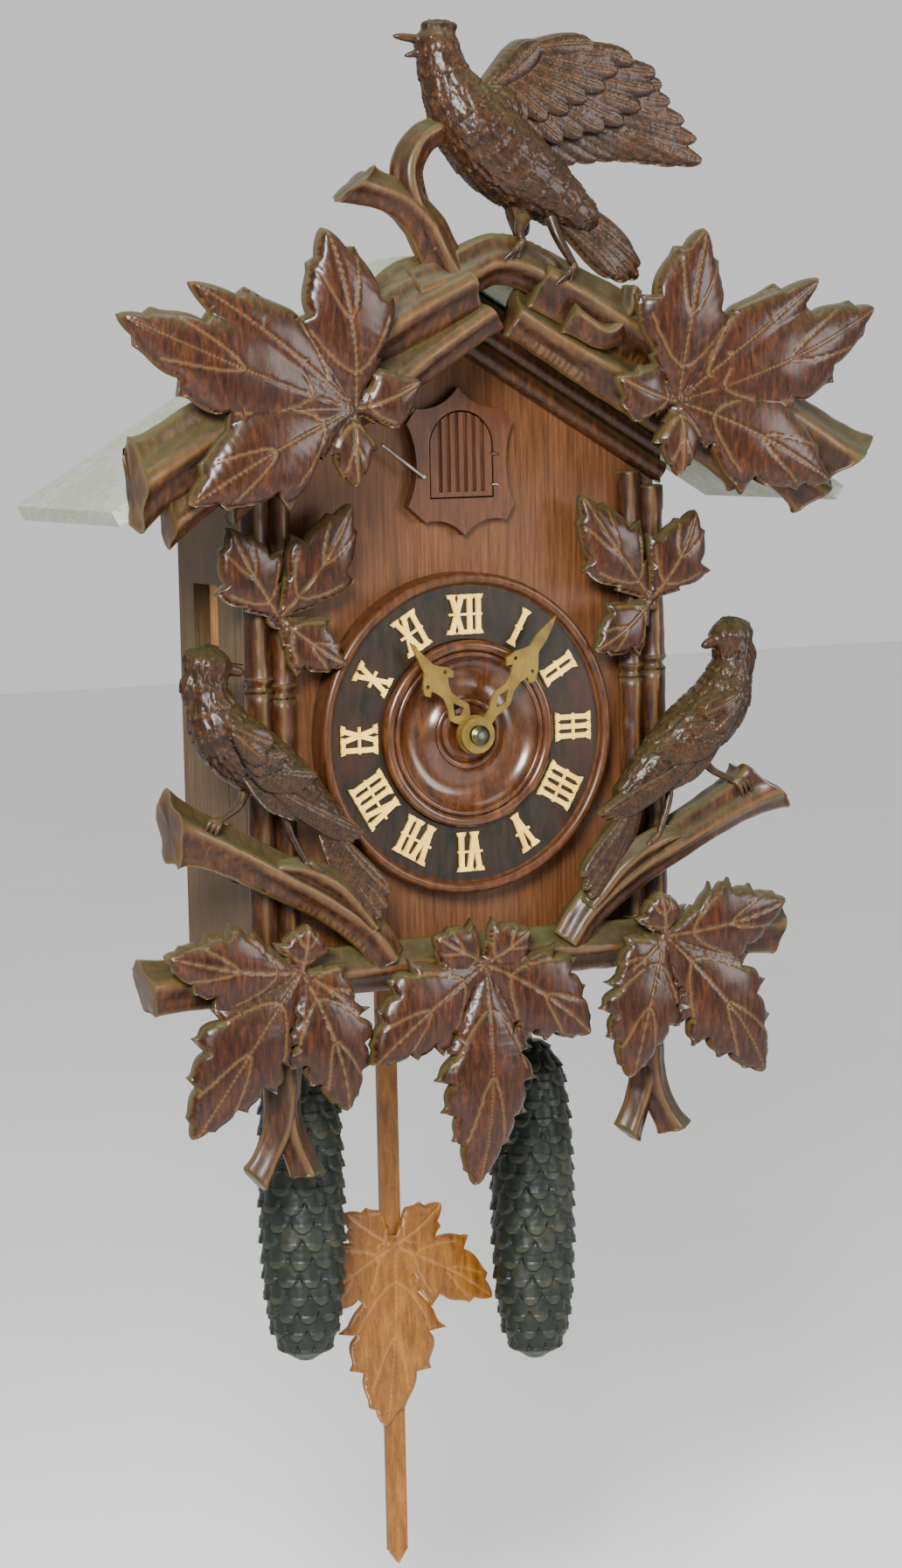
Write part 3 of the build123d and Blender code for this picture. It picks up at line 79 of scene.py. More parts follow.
class Shader:
    """A Principled material with short ways to add and link nodes."""

    def __init__(self, name, rough=0.5, metallic=0.0, coat=0.0, coat_rough=0.2):
        self.mat = bpy.data.materials.new(name)
        self.mat.use_nodes = True
        self.tree = self.mat.node_tree
        self.bsdf = self.tree.nodes["Principled BSDF"]
        self.bsdf.inputs["Roughness"].default_value = rough
        self.bsdf.inputs["Metallic"].default_value = metallic
        self.bsdf.inputs["Coat Weight"].default_value = coat
        self.bsdf.inputs["Coat Roughness"].default_value = coat_rough
        self.bsdf.inputs["Specular IOR Level"].default_value = SPECULAR
        self.coords = self.tree.nodes.new("ShaderNodeTexCoord").outputs["Object"]

    def feed(self, socket, value):
        """Links an output to an input, or sets the input's value."""
        if isinstance(value, bpy.types.NodeSocket):
            self.tree.links.new(value, socket)
        else:
            socket.default_value = (*value, 1) if socket.type == "RGBA" else value

    def node(self, kind, **inputs):
        """A new node with its named inputs fed; _ stands for a space."""
        made = self.tree.nodes.new("ShaderNode" + kind)
        for name, value in inputs.items():
            self.feed(made.inputs[name.replace("_", " ")], value)
        return made

    def mapped(self, scale):
        return self.node("Mapping", Scale=scale, Vector=self.coords).outputs["Vector"]

    def noise(self, vector, scale, detail=6.0, rough=0.55, distortion=0.0):
        made = self.node("TexNoise", Scale=scale, Detail=detail, Roughness=rough, Distortion=distortion, Vector=vector)
        return made.outputs["Fac"]

    def ramp(self, value, stops):
        made = self.node("ValToRGB", Fac=value)
        while len(made.color_ramp.elements) < len(stops):
            made.color_ramp.elements.new(0.5)
        for element, (place, colour) in zip(made.color_ramp.elements, stops):
            element.position = place
            element.color = (*colour, 1) if len(colour) == 3 else (colour[0],) * 3 + (1,)
        return made.outputs["Color"]

    def mix(self, factor, a, b):
        made = self.node("Mix")
        made.data_type = "RGBA"
        for value, socket in ((factor, made.inputs[0]), (a, made.inputs[6]), (b, made.inputs[7])):
            self.feed(socket, value)
        return made.outputs[2]

    def multiply(self, a, b):
        made = self.node("Math")
        made.operation = "MULTIPLY"
        made.use_clamp = True
        self.feed(made.inputs[0], a)
        self.feed(made.inputs[1], b)
        return made.outputs[0]

    def attribute(self, name):
        made = self.node("Attribute")
        made.attribute_name = name
        return made.outputs["Fac"]

    def upward(self, low, high):
        """How much the surface faces the sky, as 0 to 1 between two normal heights."""
        normal = self.node("SeparateXYZ", Vector=self.node("NewGeometry").outputs["Normal"])
        return self.node("MapRange", From_Min=low, From_Max=high, Value=normal.outputs["Z"]).outputs["Result"]

    def bump(self, heights):
        """Chain of bumps from (height, strength, distance in mm) entries."""
        last = {}
        for height, strength, distance in heights:
            made = self.node("Bump", Strength=strength, Distance=distance / 1000, Height=height, **last)
            last = {"Normal": made.outputs["Normal"]}
        self.feed(self.bsdf.inputs["Normal"], last["Normal"])

    def colour(self, socket):
        self.feed(self.bsdf.inputs["Base Color"], socket)
        return self.mat

    def roughness(self, value, low, high):
        made = self.node("MapRange", To_Min=low, To_Max=high, Value=value)
        self.feed(self.bsdf.inputs["Roughness"], made.outputs["Result"])


def wood(name, dark, mid, light, grain=(90, 90, 7), rough=(0.35, 0.6), coat=0.0, dust=0.0,
         dust_colour=(0.062, 0.064, 0.026), pale_and_highlight_colour=(0.24, 0.145, 0.048), bump=0.25, blotch=0.55):
    """Wood with fibres along the axis that grain shrinks least, blotches, pores, dust, pale carved lines and wear,
    painted highlights on raised ridges, and painted shade.
    """
    s = Shader(name, coat=coat, coat_rough=0.22)
    fibres = s.mapped(grain)
    streaks = s.noise(fibres, 5.0, 8.0, 0.6, 0.4)
    pores = s.noise(s.mapped(tuple(g * 6 for g in grain)), 6.0, 3.0, 0.5)
    blotches = s.noise(s.coords, 22.0, 3.0, 0.5)
    colour = s.ramp(streaks, ((0.30, dark), (0.52, mid), (0.74, light)))
    colour = s.mix(s.ramp(blotches, ((0.35, (0.0,)), (0.70, (blotch,)))), colour, dark)
    colour = s.mix(s.ramp(pores, ((0.30, (0.45,)), (0.48, (0.0,)))), colour, tuple(c * 0.35 for c in dark))
    carve = s.attribute("carve")
    # pale carved lines and edge wear from the mesh, together with painted highlights on raised ridges and lips
    colour = s.mix(s.multiply(carve, 0.5), colour, pale_and_highlight_colour)
    # painted shade from the mesh: darker in hollows and troughs and on the sloping sides of domes
    colour = s.mix(s.multiply(s.attribute("shade"), 0.8), colour, tuple(c * 0.22 for c in dark))
    if dust:
        patches = s.ramp(s.noise(s.coords, 60.0, 5.0), ((0.25, (0.4,)), (0.6, (1.0,))))
        veil = s.multiply(s.upward(0.15, 0.85), patches)
        colour = s.mix(s.multiply(veil, dust), colour, dust_colour)
    s.roughness(streaks, *rough)
    s.bump(((streaks, bump, 0.25), (pores, bump * 0.8, 0.12)))
    return s.colour(colour)


def metal(name, base, stain, rough=(0.3, 0.55)):
    """Old metal with clouds of stain."""
    s = Shader(name, metallic=1.0)
    cloud = s.noise(s.coords, 120.0, 7.0, 0.65)
    fine = s.noise(s.coords, 1080.0, 3.0)
    colour = s.mix(s.ramp(cloud, ((0.38, (0.0,)), (0.68, (1.0,)))), base, stain)
    s.roughness(cloud, *rough)
    s.bump(((fine, 0.2, 0.05), (cloud, 0.15, 0.1)))
    return s.colour(colour)


def bone(name, light, dark):
    """Aged bone or celluloid with fine fibres."""
    s = Shader(name, rough=0.42, coat=0.15)
    cloud = s.noise(s.coords, 90.0, 6.0, 0.6)
    fibres = s.noise(s.mapped((400, 400, 60)), 4.0, 4.0)
    colour = s.ramp(cloud, ((0.32, dark), (0.58, light)))
    colour = s.mix(s.ramp(fibres, ((0.35, (0.35,)), (0.5, (0.0,)))), colour, dark)
    s.bump(((fibres, 0.15, 0.05),))
    return s.colour(colour)


def ring_wood():
    """Ebonised chapter ring whose outer moulding is polished red-brown."""
    s = Shader("chapter_ring_wood", coat=0.08)
    streaks = s.noise(s.mapped((70, 70, 18)), 5.0, 8.0, 0.6, 0.4)
    blotches = s.noise(s.coords, 26.0, 4.0)
    black = s.ramp(streaks, ((0.35, (0.0065, 0.0060, 0.0038)), (0.72, (0.0200, 0.0110, 0.0060))))
    black = s.mix(s.ramp(blotches, ((0.50, (0.0,)), (0.72, (0.75,)))), black, (0.040, 0.0125, 0.0050))
    red = s.ramp(streaks, ((0.30, (0.024, 0.0078, 0.0028)), (0.72, (0.086, 0.0290, 0.0078))))
    moved = s.mapped((1, 0, 1))
    moved.node.inputs["Location"].default_value = (0, 0, -DIAL / 1000)
    radius = s.node("VectorMath")
    radius.operation = "LENGTH"
    s.feed(radius.inputs[0], moved)
    rim = s.node("MapRange", From_Min=0.0632, From_Max=0.0640, Value=radius.outputs["Value"])
    s.roughness(streaks, 0.26, 0.42)
    s.bump(((streaks, 0.15, 0.15),))
    return s.colour(s.mix(rim.outputs["Result"], black, red))


CARVED = wood("carved_walnut", (0.0080, 0.0024, 0.0009), (0.0320, 0.0088, 0.0022), (0.0800, 0.0215, 0.0046),
              grain=(110, 110, 22), rough=(0.24, 0.36), coat=0.10, dust=0.6, blotch=0.3)
FEATHERED = wood("carved_feathers", (0.0070, 0.0028, 0.0011), (0.0290, 0.0102, 0.0031), (0.0740, 0.0260, 0.0075),
                 grain=(60, 60, 60), rough=(0.24, 0.42), coat=0.06, dust=0.4, bump=0.4)
BARK = wood("carved_bark", (0.0100, 0.0036, 0.0012), (0.0390, 0.0122, 0.0030), (0.0940, 0.0310, 0.0070),
            grain=(70, 70, 18), rough=(0.28, 0.46), coat=0.06, dust=0.7, bump=0.4)
FRONT = wood("front_panel_wood", (0.046, 0.0165, 0.0052), (0.092, 0.0345, 0.0102), (0.140, 0.0560, 0.0170),
             grain=(150, 150, 7), rough=(0.38, 0.6), coat=0.05, bump=0.2)
SHIELD = wood("shield_wood", (0.032, 0.0105, 0.0038), (0.070, 0.0235, 0.0075), (0.115, 0.0420, 0.0130),
              grain=(110, 110, 9), rough=(0.30, 0.5), coat=0.08, bump=0.25)
CASE = wood("case_wood", (0.040, 0.0235, 0.0105), (0.074, 0.0450, 0.0195), (0.115, 0.0750, 0.0350),
            grain=(150, 150, 7), rough=(0.45, 0.7), dust=0.3)
ROOF = wood("roof_wood", (0.20, 0.21, 0.165), (0.31, 0.325, 0.265), (0.42, 0.43, 0.36),
            grain=(8, 90, 90), rough=(0.6, 0.85), dust=0.2, dust_colour=(0.30, 0.34, 0.26), bump=0.3)
BACK = wood("back_wood", (0.16, 0.095, 0.045), (0.27, 0.17, 0.085), (0.37, 0.25, 0.14),
            grain=(110, 110, 7), rough=(0.6, 0.85))
TURNED = wood("turned_wood", (0.022, 0.0066, 0.0022), (0.060, 0.0190, 0.0044), (0.130, 0.0460, 0.0105),
              grain=(40, 40, 12), rough=(0.14, 0.28), coat=0.45)
RING = ring_wood()
RAW = wood("raw_wood", (0.27, 0.125, 0.045), (0.43, 0.215, 0.085), (0.56, 0.32, 0.15),
           grain=(110, 110, 8), rough=(0.55, 0.8))
HONEY = wood("pendulum_wood", (0.085, 0.028, 0.0042), (0.185, 0.070, 0.0088), (0.30, 0.130, 0.019),
             grain=(60, 60, 12), rough=(0.30, 0.5), coat=0.12, pale_and_highlight_colour=(0.42, 0.20, 0.062))
CUCKOO = wood("cuckoo_paint", (0.12, 0.09, 0.06), (0.22, 0.17, 0.12), (0.34, 0.27, 0.2), grain=(80, 80, 80),
              rough=(0.5, 0.7))
NUMERALS = bone("numeral_bone", (0.82, 0.54, 0.105), (0.55, 0.32, 0.050))
HANDS = bone("hand_bone", (0.138, 0.090, 0.0105), (0.060, 0.034, 0.005))
BRASS = metal("brass_plate", (0.62, 0.44, 0.17), (0.20, 0.13, 0.05))
NUT = metal("hand_nut_brass", (0.11, 0.10, 0.05), (0.04, 0.045, 0.025), rough=(0.25, 0.4))
STEEL = metal("steel_wire", (0.34, 0.32, 0.29), (0.10, 0.07, 0.05))
LEATHER = wood("bellows_leather", (0.30, 0.23, 0.16), (0.48, 0.39, 0.28), (0.62, 0.53, 0.4), grain=(120, 120, 120),
               rough=(0.6, 0.8))


def iron(name):
    """Dark painted casting, with a painted highlight where it is raised and painted shade in its hollows."""
    s = Shader(name, rough=0.45, coat=0.08, coat_rough=0.3)
    cloud = s.noise(s.coords, 70.0, 6.0, 0.6)
    grit = s.noise(s.coords, 900.0, 4.0)
    colour = s.ramp(cloud, ((0.30, (0.0030, 0.0048, 0.0034)), (0.55, (0.0070, 0.0110, 0.0072)),
                            (0.78, (0.034, 0.026, 0.012))))
    # painted highlight, paler green-gold on the raised scale lips
    colour = s.mix(s.multiply(s.attribute("carve"), 0.75), colour, (0.046, 0.050, 0.026))
    # painted shade in the hollows between the scales
    colour = s.mix(s.attribute("shade"), colour, (0.004, 0.006, 0.005))
    s.roughness(cloud, 0.35, 0.62)
    s.bump(((cloud, 0.3, 0.5), (grit, 0.3, 0.12)))
    return s.colour(colour)


IRON = iron("cone_iron")

LOOKS = {
    "carved": CARVED, "case_wood": CASE, "roof_wood": ROOF, "back_wood": BACK, "dial_wood": RING,
    "dial_centre_wood": TURNED, "bone": HANDS, "nut_brass": NUT, "brass": BRASS, "steel": STEEL,
    "raw_wood": RAW, "cuckoo_paint": CUCKOO, "cone_iron": IRON, "pendulum_wood": HONEY,
}
SLOT_OF = {entry["node"]: entry["material_slot"] for entry in frame["record"]["subparts"]}
for node, obj in frame["nodes"].items():
    look = {"front_panel": FRONT, "numerals": NUMERALS, "door_shield": SHIELD, "cuckoo_door": SHIELD,
            "gable_mouldings": BARK}.get(node, LOOKS[SLOT_OF[node]])
    obj.data.materials.clear()
    obj.data.materials.append(look)


# ---- mesh helpers -------------------------------------------------------------------------
def row(points):
    """Millimetres with heights from the dial centre, as an array of metres in the row frame."""
    points = np.asarray(points, float).copy()
    points[:, 2] += DIAL
    return points / 1000


def piece(name, points, faces, body, look, slot, attributes=None, stands_for=()):
    """A smooth-shaded mesh object that rides on a CAD body, or on none."""
    mesh = bpy.data.meshes.new(name)
    mesh.from_pydata(row(points).tolist(), [], [tuple(int(i) for i in f) for f in faces])
    for key, values in (attributes or {}).items():
        layer = mesh.attributes.new(key, "FLOAT", "POINT")
        layer.data.foreach_set("value", np.asarray(values, np.float32))
    bm = bmesh.new()
    bm.from_mesh(mesh)
    bmesh.ops.recalc_face_normals(bm, faces=bm.faces)
    bm.to_mesh(mesh)
    bm.free()
    mesh.shade_smooth()
    mesh.materials.append(look)
    obj = bpy.data.objects.new(name, mesh)
    bpy.context.scene.collection.objects.link(obj)
    if body:
        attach(obj, body)
    if stands_for:
        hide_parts(*stands_for)
    return obj


def merge(parts):
    """Joins (points, faces, attributes) parts into one."""
    points, faces, attributes, base = [], [], {}, 0
    for part_points, part_faces, part_attributes in parts:
        points.append(np.asarray(part_points, float))
        faces += [tuple(i + base for i in f) for f in part_faces]
        for key in ("carve", "shade"):
            attributes.setdefault(key, []).append(part_attributes.get(key, np.zeros(len(part_points))))
        base += len(part_points)
    return np.vstack(points), faces, {key: np.concatenate(v) for key, v in attributes.items()}


def tube_faces(rings, sides):
    """Quads between rings of points that follow one another."""
    return [(k * sides + i, k * sides + (i + 1) % sides, (k + 1) * sides + (i + 1) % sides, (k + 1) * sides + i)
            for k in range(rings - 1) for i in range(sides)]


def rumple(points, size, seed=0.0):
    """Smooth noise, about -1 to 1, at each point; size is in millimetres."""
    return np.array([noise.noise(Vector((p[0] / size + seed, p[1] / size, p[2] / size))) for p in points])


def through(stations, step):
    """Smooth path through (x, y, z, radius) stations, sampled every step."""
    s = np.asarray(stations, float)
    padded = np.vstack([2 * s[0] - s[1], s, 2 * s[-1] - s[-2]])
    out = []
    for k in range(len(s) - 1):
        a, b, c, d = padded[k:k + 4]
        count = max(2, int(np.linalg.norm((c - b)[:3]) / step))
        for t in np.arange(count) / count:
            out.append(0.5 * (2 * b + (c - a) * t + (2 * a - 5 * b + 4 * c - d) * t * t
                              + (3 * b - a - 3 * c + d) * t ** 3))
    out.append(s[-1])
    out = np.array(out)
    return out[:, :3], out[:, 3]


def sweep(stations, sides=30, step=1.4, flutes=6, depth=0.07, rough=0.35, notches=(), back=None, phase=0.5,
          flare=(1.0, 1.0), seed=0.0, cut=(0.0, 0.0)):
    """A carved bar along a path: fluted bark, rows of small notches along the top, and flat-cut ends.

    notches are (from, to) shares of the length; back is the y that nothing passes; flare widens each end;
    cut slopes each end face."""
    path, radii = through(stations, step)
    count = len(path)
    length = np.concatenate([[0], np.cumsum(np.linalg.norm(np.diff(path, axis=0), axis=1))])
    share = length / length[-1]
    ends = np.maximum((flare[0] - 1) * np.exp(-length / 6.0), (flare[1] - 1) * np.exp(-(length[-1] - length) / 6.0))
    radii = radii * (1 + ends)
    tangent = np.gradient(path, axis=0)
    tangent /= np.linalg.norm(tangent, axis=1)[:, None]
    front = np.array([0.0, -1.0, 0.0])
    points, carve, shade = [], [], []
    turn = np.arange(sides) / sides * 2 * math.pi
    for k in range(count):
        up = np.cross(tangent[k], front)
        up /= np.linalg.norm(up)
        out = np.cross(up, tangent[k])
        wave = np.cos(flutes * turn + phase + 0.8 * math.sin(length[k] / 23.0 + seed))
        ridge = np.clip((wave - 0.72) / 0.28, 0, 1)
        r = radii[k] * (1 + depth * (np.abs(wave) ** 0.7 * np.sign(wave)))
        if any(a <= share[k] <= b for a, b in notches):
            zone = np.exp(-((turn - math.pi * 0.36) / 0.16) ** 2)
            tooth = (length[k] / 2.6) % 1.0
            r = r - zone * 1.0 * tooth
            ridge = np.maximum(ridge, zone * (tooth < 0.5))
        slope = (cut[0] * (1 - share[k]) ** 6 - cut[1] * share[k] ** 6) * radii[k]
        ring = (path[k] + np.outer(np.cos(turn) * r, out) + np.outer(np.sin(turn) * r, up)
                + np.outer(np.sin(turn) * slope, tangent[k]))
        points.append(ring)
        # painted highlight along the flute crests and on the raised half of each notch
        carve.append(ridge * 0.55)
        # painted shade in the flute troughs
        shade.append(np.clip(-wave - 0.75, 0, 1) * 1.6)
    points = np.vstack(points)
    if rough:
        away = points - np.repeat(path, sides, axis=0)
        away /= np.maximum(np.linalg.norm(away, axis=1), 1e-6)[:, None]
        points = points + away * (rough * rumple(points, 7.0, seed))[:, None]
    faces = tube_faces(count, sides)
    carve, shade = list(np.concatenate(carve)), list(np.concatenate(shade))
    for end, sign in ((0, -1), (count - 1, 1)):
        ring = points[end * sides:(end + 1) * sides]
        middle = ring.mean(axis=0)
        base = len(points)
        inner = middle + (ring - middle) * 0.82 + tangent[end] * sign * 0.5
        hub = middle + tangent[end] * sign * 0.2
        points = np.vstack([points, ring, inner, hub[None]])
        carve += [0.5] * sides + [0.25] * sides + [0.1]
        shade += [0.0] * sides + [0.25] * sides + [0.5]
        for i in range(sides):
            j = (i + 1) % sides
            rim, core, centre = base, base + sides, base + 2 * sides
            faces.append((rim + i, rim + j, core + j, core + i))
            faces.append((core + i, core + j, centre))
            faces.append((end * sides + i, end * sides + j, rim + j, rim + i))
    if back is not None:
        points[:, 1] = np.minimum(points[:, 1], back)
    return points, faces, {"carve": np.array(carve), "shade": np.array(shade)}


def rod(stations, sides, rough, step):
    """A plain round rod through (x, y, z, radius) stations."""
    return sweep(stations, sides=sides, flutes=0, depth=0, rough=rough, step=step)


TOOTH_BITE = 0.46       # share of the half width that a leaf tooth takes
LOBE_STEPS = 60         # samples along a midrib


class Lobe:
    """A leaf lobe or a feather: a curved midrib with a width that swells and narrows."""

    def __init__(self, start, tip, half_width, teeth=0, bend=0.0, swell=0.45, blunt=False, lift=0.0, dome=3.0,
                 pitch=0.0):
        self.start, self.tip = np.array(start, float), np.array(tip, float)
        self.half_width, self.teeth, self.swell, self.blunt = half_width, teeth, swell, blunt
        self.lift, self.dome, self.pitch = lift, dome, pitch
        along = self.tip - self.start
        self.length = float(np.hypot(*along))
        across = np.array([-along[1], along[0]]) / self.length
        middle = (self.start + self.tip) / 2 + across * bend
        t = np.linspace(0, 1, LOBE_STEPS + 1)[:, None]
        self.line = (1 - t) ** 2 * self.start + 2 * t * (1 - t) * middle + t * t * self.tip
        step = np.gradient(self.line, axis=0)
        step /= np.linalg.norm(step, axis=1)[:, None]
        self.normal = np.stack([-step[:, 1], step[:, 0]], axis=1)

    def width(self, t):
        t = np.clip(t, 0.0, 1.0)
        if self.blunt:
            body = np.where(t < self.swell, (t / self.swell) ** 0.5,
                            np.clip(1 - ((t - self.swell) / (1 - self.swell)) ** 3, 0, 1) ** 0.5)
        else:
            body = np.where(t < self.swell, 0.12 + 0.88 * np.sin(t / self.swell * math.pi / 2) ** 1.5,
                            np.clip((1 - t) / (1 - self.swell), 0, 1) ** 0.74)
        return self.half_width * body

    def outline(self):
        """Closed outline with saw teeth that lean towards the tip."""
        left, right = [], []
        for k in range(LOBE_STEPS + 1):
            t = k / LOBE_STEPS
            w = float(self.width(t))
            if self.teeth and 0.26 < t < 0.97:
                place = (t - 0.26) / 0.74 * (self.teeth + 0.45)
                u = place % 1.0
                w *= 1 - TOOTH_BITE * 0.5 + TOOTH_BITE * (0.35 * math.sin(math.pi * min(u * 1.25, 1)) + u ** 2.6)
            left.append(self.line[k] + self.normal[k] * w)
            right.append(self.line[k] - self.normal[k] * w)
        return left + [self.tip] + right[::-1][1:]

    def side_veins(self):
        """Curved side veins, from the midrib towards the teeth."""
        veins = []
        for k in range(min(self.teeth, 2)):
            root = 0.20 + 0.30 * k
            end = min(root + 0.27 + 0.04 * k, 0.93)
            i = int(root * LOBE_STEPS)
            for hand in (-1, 1):
                reach = float(self.width(end)) * 0.80
                u = np.linspace(0, 1, 26)[:, None]
                j = np.clip((i + (end * LOBE_STEPS - i) * u[:, 0] ** 0.85).astype(int), 0, LOBE_STEPS)
                centre = self.line[i] * (1 - u) + self.line[j] * u
                veins.append(centre + self.normal[j] * hand * reach * u ** 1.15)
        return veins

    def vein_points(self, vein):
        """Points on and beside the veins, so that the mesh carries them cleanly."""
        count = max(int(self.length / 0.9), 8)
        at = np.linspace(0.5, LOBE_STEPS - 2, count)
        line = np.stack([np.interp(at, range(LOBE_STEPS + 1), self.line[:, c]) for c in (0, 1)], axis=1)
        side = np.stack([np.interp(at, range(LOBE_STEPS + 1), self.normal[:, c]) for c in (0, 1)], axis=1)
        rows = [line] + [line + side * s * vein * 1.3 for s in (-1, 1)]
        for path in self.side_veins():
            long = np.concatenate([[0], np.cumsum(np.hypot(*np.diff(path, axis=0).T))])
            at = np.arange(0.8, long[-1], 0.9)
            rows.append(np.stack([np.interp(at, long, path[:, c]) for c in (0, 1)], axis=1))
        return np.vstack(rows)

    def locate(self, xz):
        """Share along the midrib, signed distance from it and width there, for each point."""
        gap = xz[:, None, :] - self.line[None]
        k = np.argmin((gap ** 2).sum(axis=2), axis=1)
        t = k / LOBE_STEPS
        side = (gap[np.arange(len(xz)), k] * self.normal[k]).sum(axis=1)
        beyond = np.hypot(*(xz - self.line[k]).T)
        side = np.where(side < 0, -beyond, beyond)
        return t, side, np.maximum(self.width(t), 0.4)


def polygon_ccw(points):
    points = [tuple(map(float, p)) for p in points]
    area = sum(a[0] * b[1] - b[0] * a[1] for a, b in zip(points, points[1:] + points[:1]))
    return points if area > 0 else points[::-1]


def plate_mesh(outlines, spacing, lines=()):
    """Triangles that fill the union of some outlines, with the distance of each point from the edge.

    lines are rows of points that the mesh also passes through, such as veins."""
    verts, faces = [], []
    for points in outlines:
        ring = [p for p, q in zip(points, points[1:] + points[:1]) if math.dist(p, q) > 0.05]
        ring = polygon_ccw(ring)
        faces.append(list(range(len(verts), len(verts) + len(ring))))
        verts += [Vector(p) for p in ring]
    loops = [np.array([verts[i] for i in f]) for f in faces]
    low = np.min([l.min(axis=0) for l in loops], axis=0)
    high = np.max([l.max(axis=0) for l in loops], axis=0)
    grid = []
    for k, z in enumerate(np.arange(low[1], high[1], spacing * 0.87)):
        for x in np.arange(low[0] + (k % 2) * spacing / 2, high[0], spacing):
            grid.append((x, z))
    grid = np.array(grid)
    edge_a = np.vstack(loops)
    edge_b = np.vstack([np.roll(l, -1, axis=0) for l in loops])
    grid = grid[edge_distance(grid, edge_a, edge_b) > spacing * 0.45]
    if len(lines):
        lines = np.asarray(lines)
        keep = np.ones(len(grid), bool)
        for k in range(0, len(grid), 1500):
            gap = grid[k:k + 1500, None] - lines[None]
            keep[k:k + 1500] = (gap ** 2).sum(axis=2).min(axis=1) > (spacing * 0.4) ** 2
        grid = np.vstack([grid[keep], lines[edge_distance(lines, edge_a, edge_b) > 0.3]])
    verts += [Vector(p) for p in grid]
    out = geometry.delaunay_2d_cdt(verts, [], faces, 0, 1e-4, True)
    points = np.array([tuple(v) for v in out[0]])
    triangles = [tuple(f) for f, source in zip(out[2], out[5]) if len(source)]
    used = sorted({i for f in triangles for i in f})
    index = {old: new for new, old in enumerate(used)}
    triangles = [tuple(index[i] for i in f) for f in triangles]
    points = points[used]
    seen = {}
    for f in triangles:
        for a, b in ((f[0], f[1]), (f[1], f[2]), (f[2], f[0])):
            seen.setdefault((min(a, b), max(a, b)), []).append((a, b))
    rim = [pairs[0] for pairs in seen.values() if len(pairs) == 1]
    distance = edge_distance(points, points[[a for a, b in rim]], points[[b for a, b in rim]])
    return points, triangles, rim, distance


def edge_distance(points, a, b):
    """Distance of each point from the nearest of some segments."""
    best = np.full(len(points), 1e9)
    ab = b - a
    size = np.maximum((ab ** 2).sum(axis=1), 1e-12)
    for k in range(0, len(points), 1500):
        p = points[k:k + 1500]
        t = np.clip(((p[:, None] - a[None]) * ab[None]).sum(axis=2) / size[None], 0, 1)
        gap = p[:, None] - (a[None] + t[..., None] * ab[None])
        best[k:k + 1500] = np.sqrt((gap ** 2).sum(axis=2)).min(axis=1)
    return best


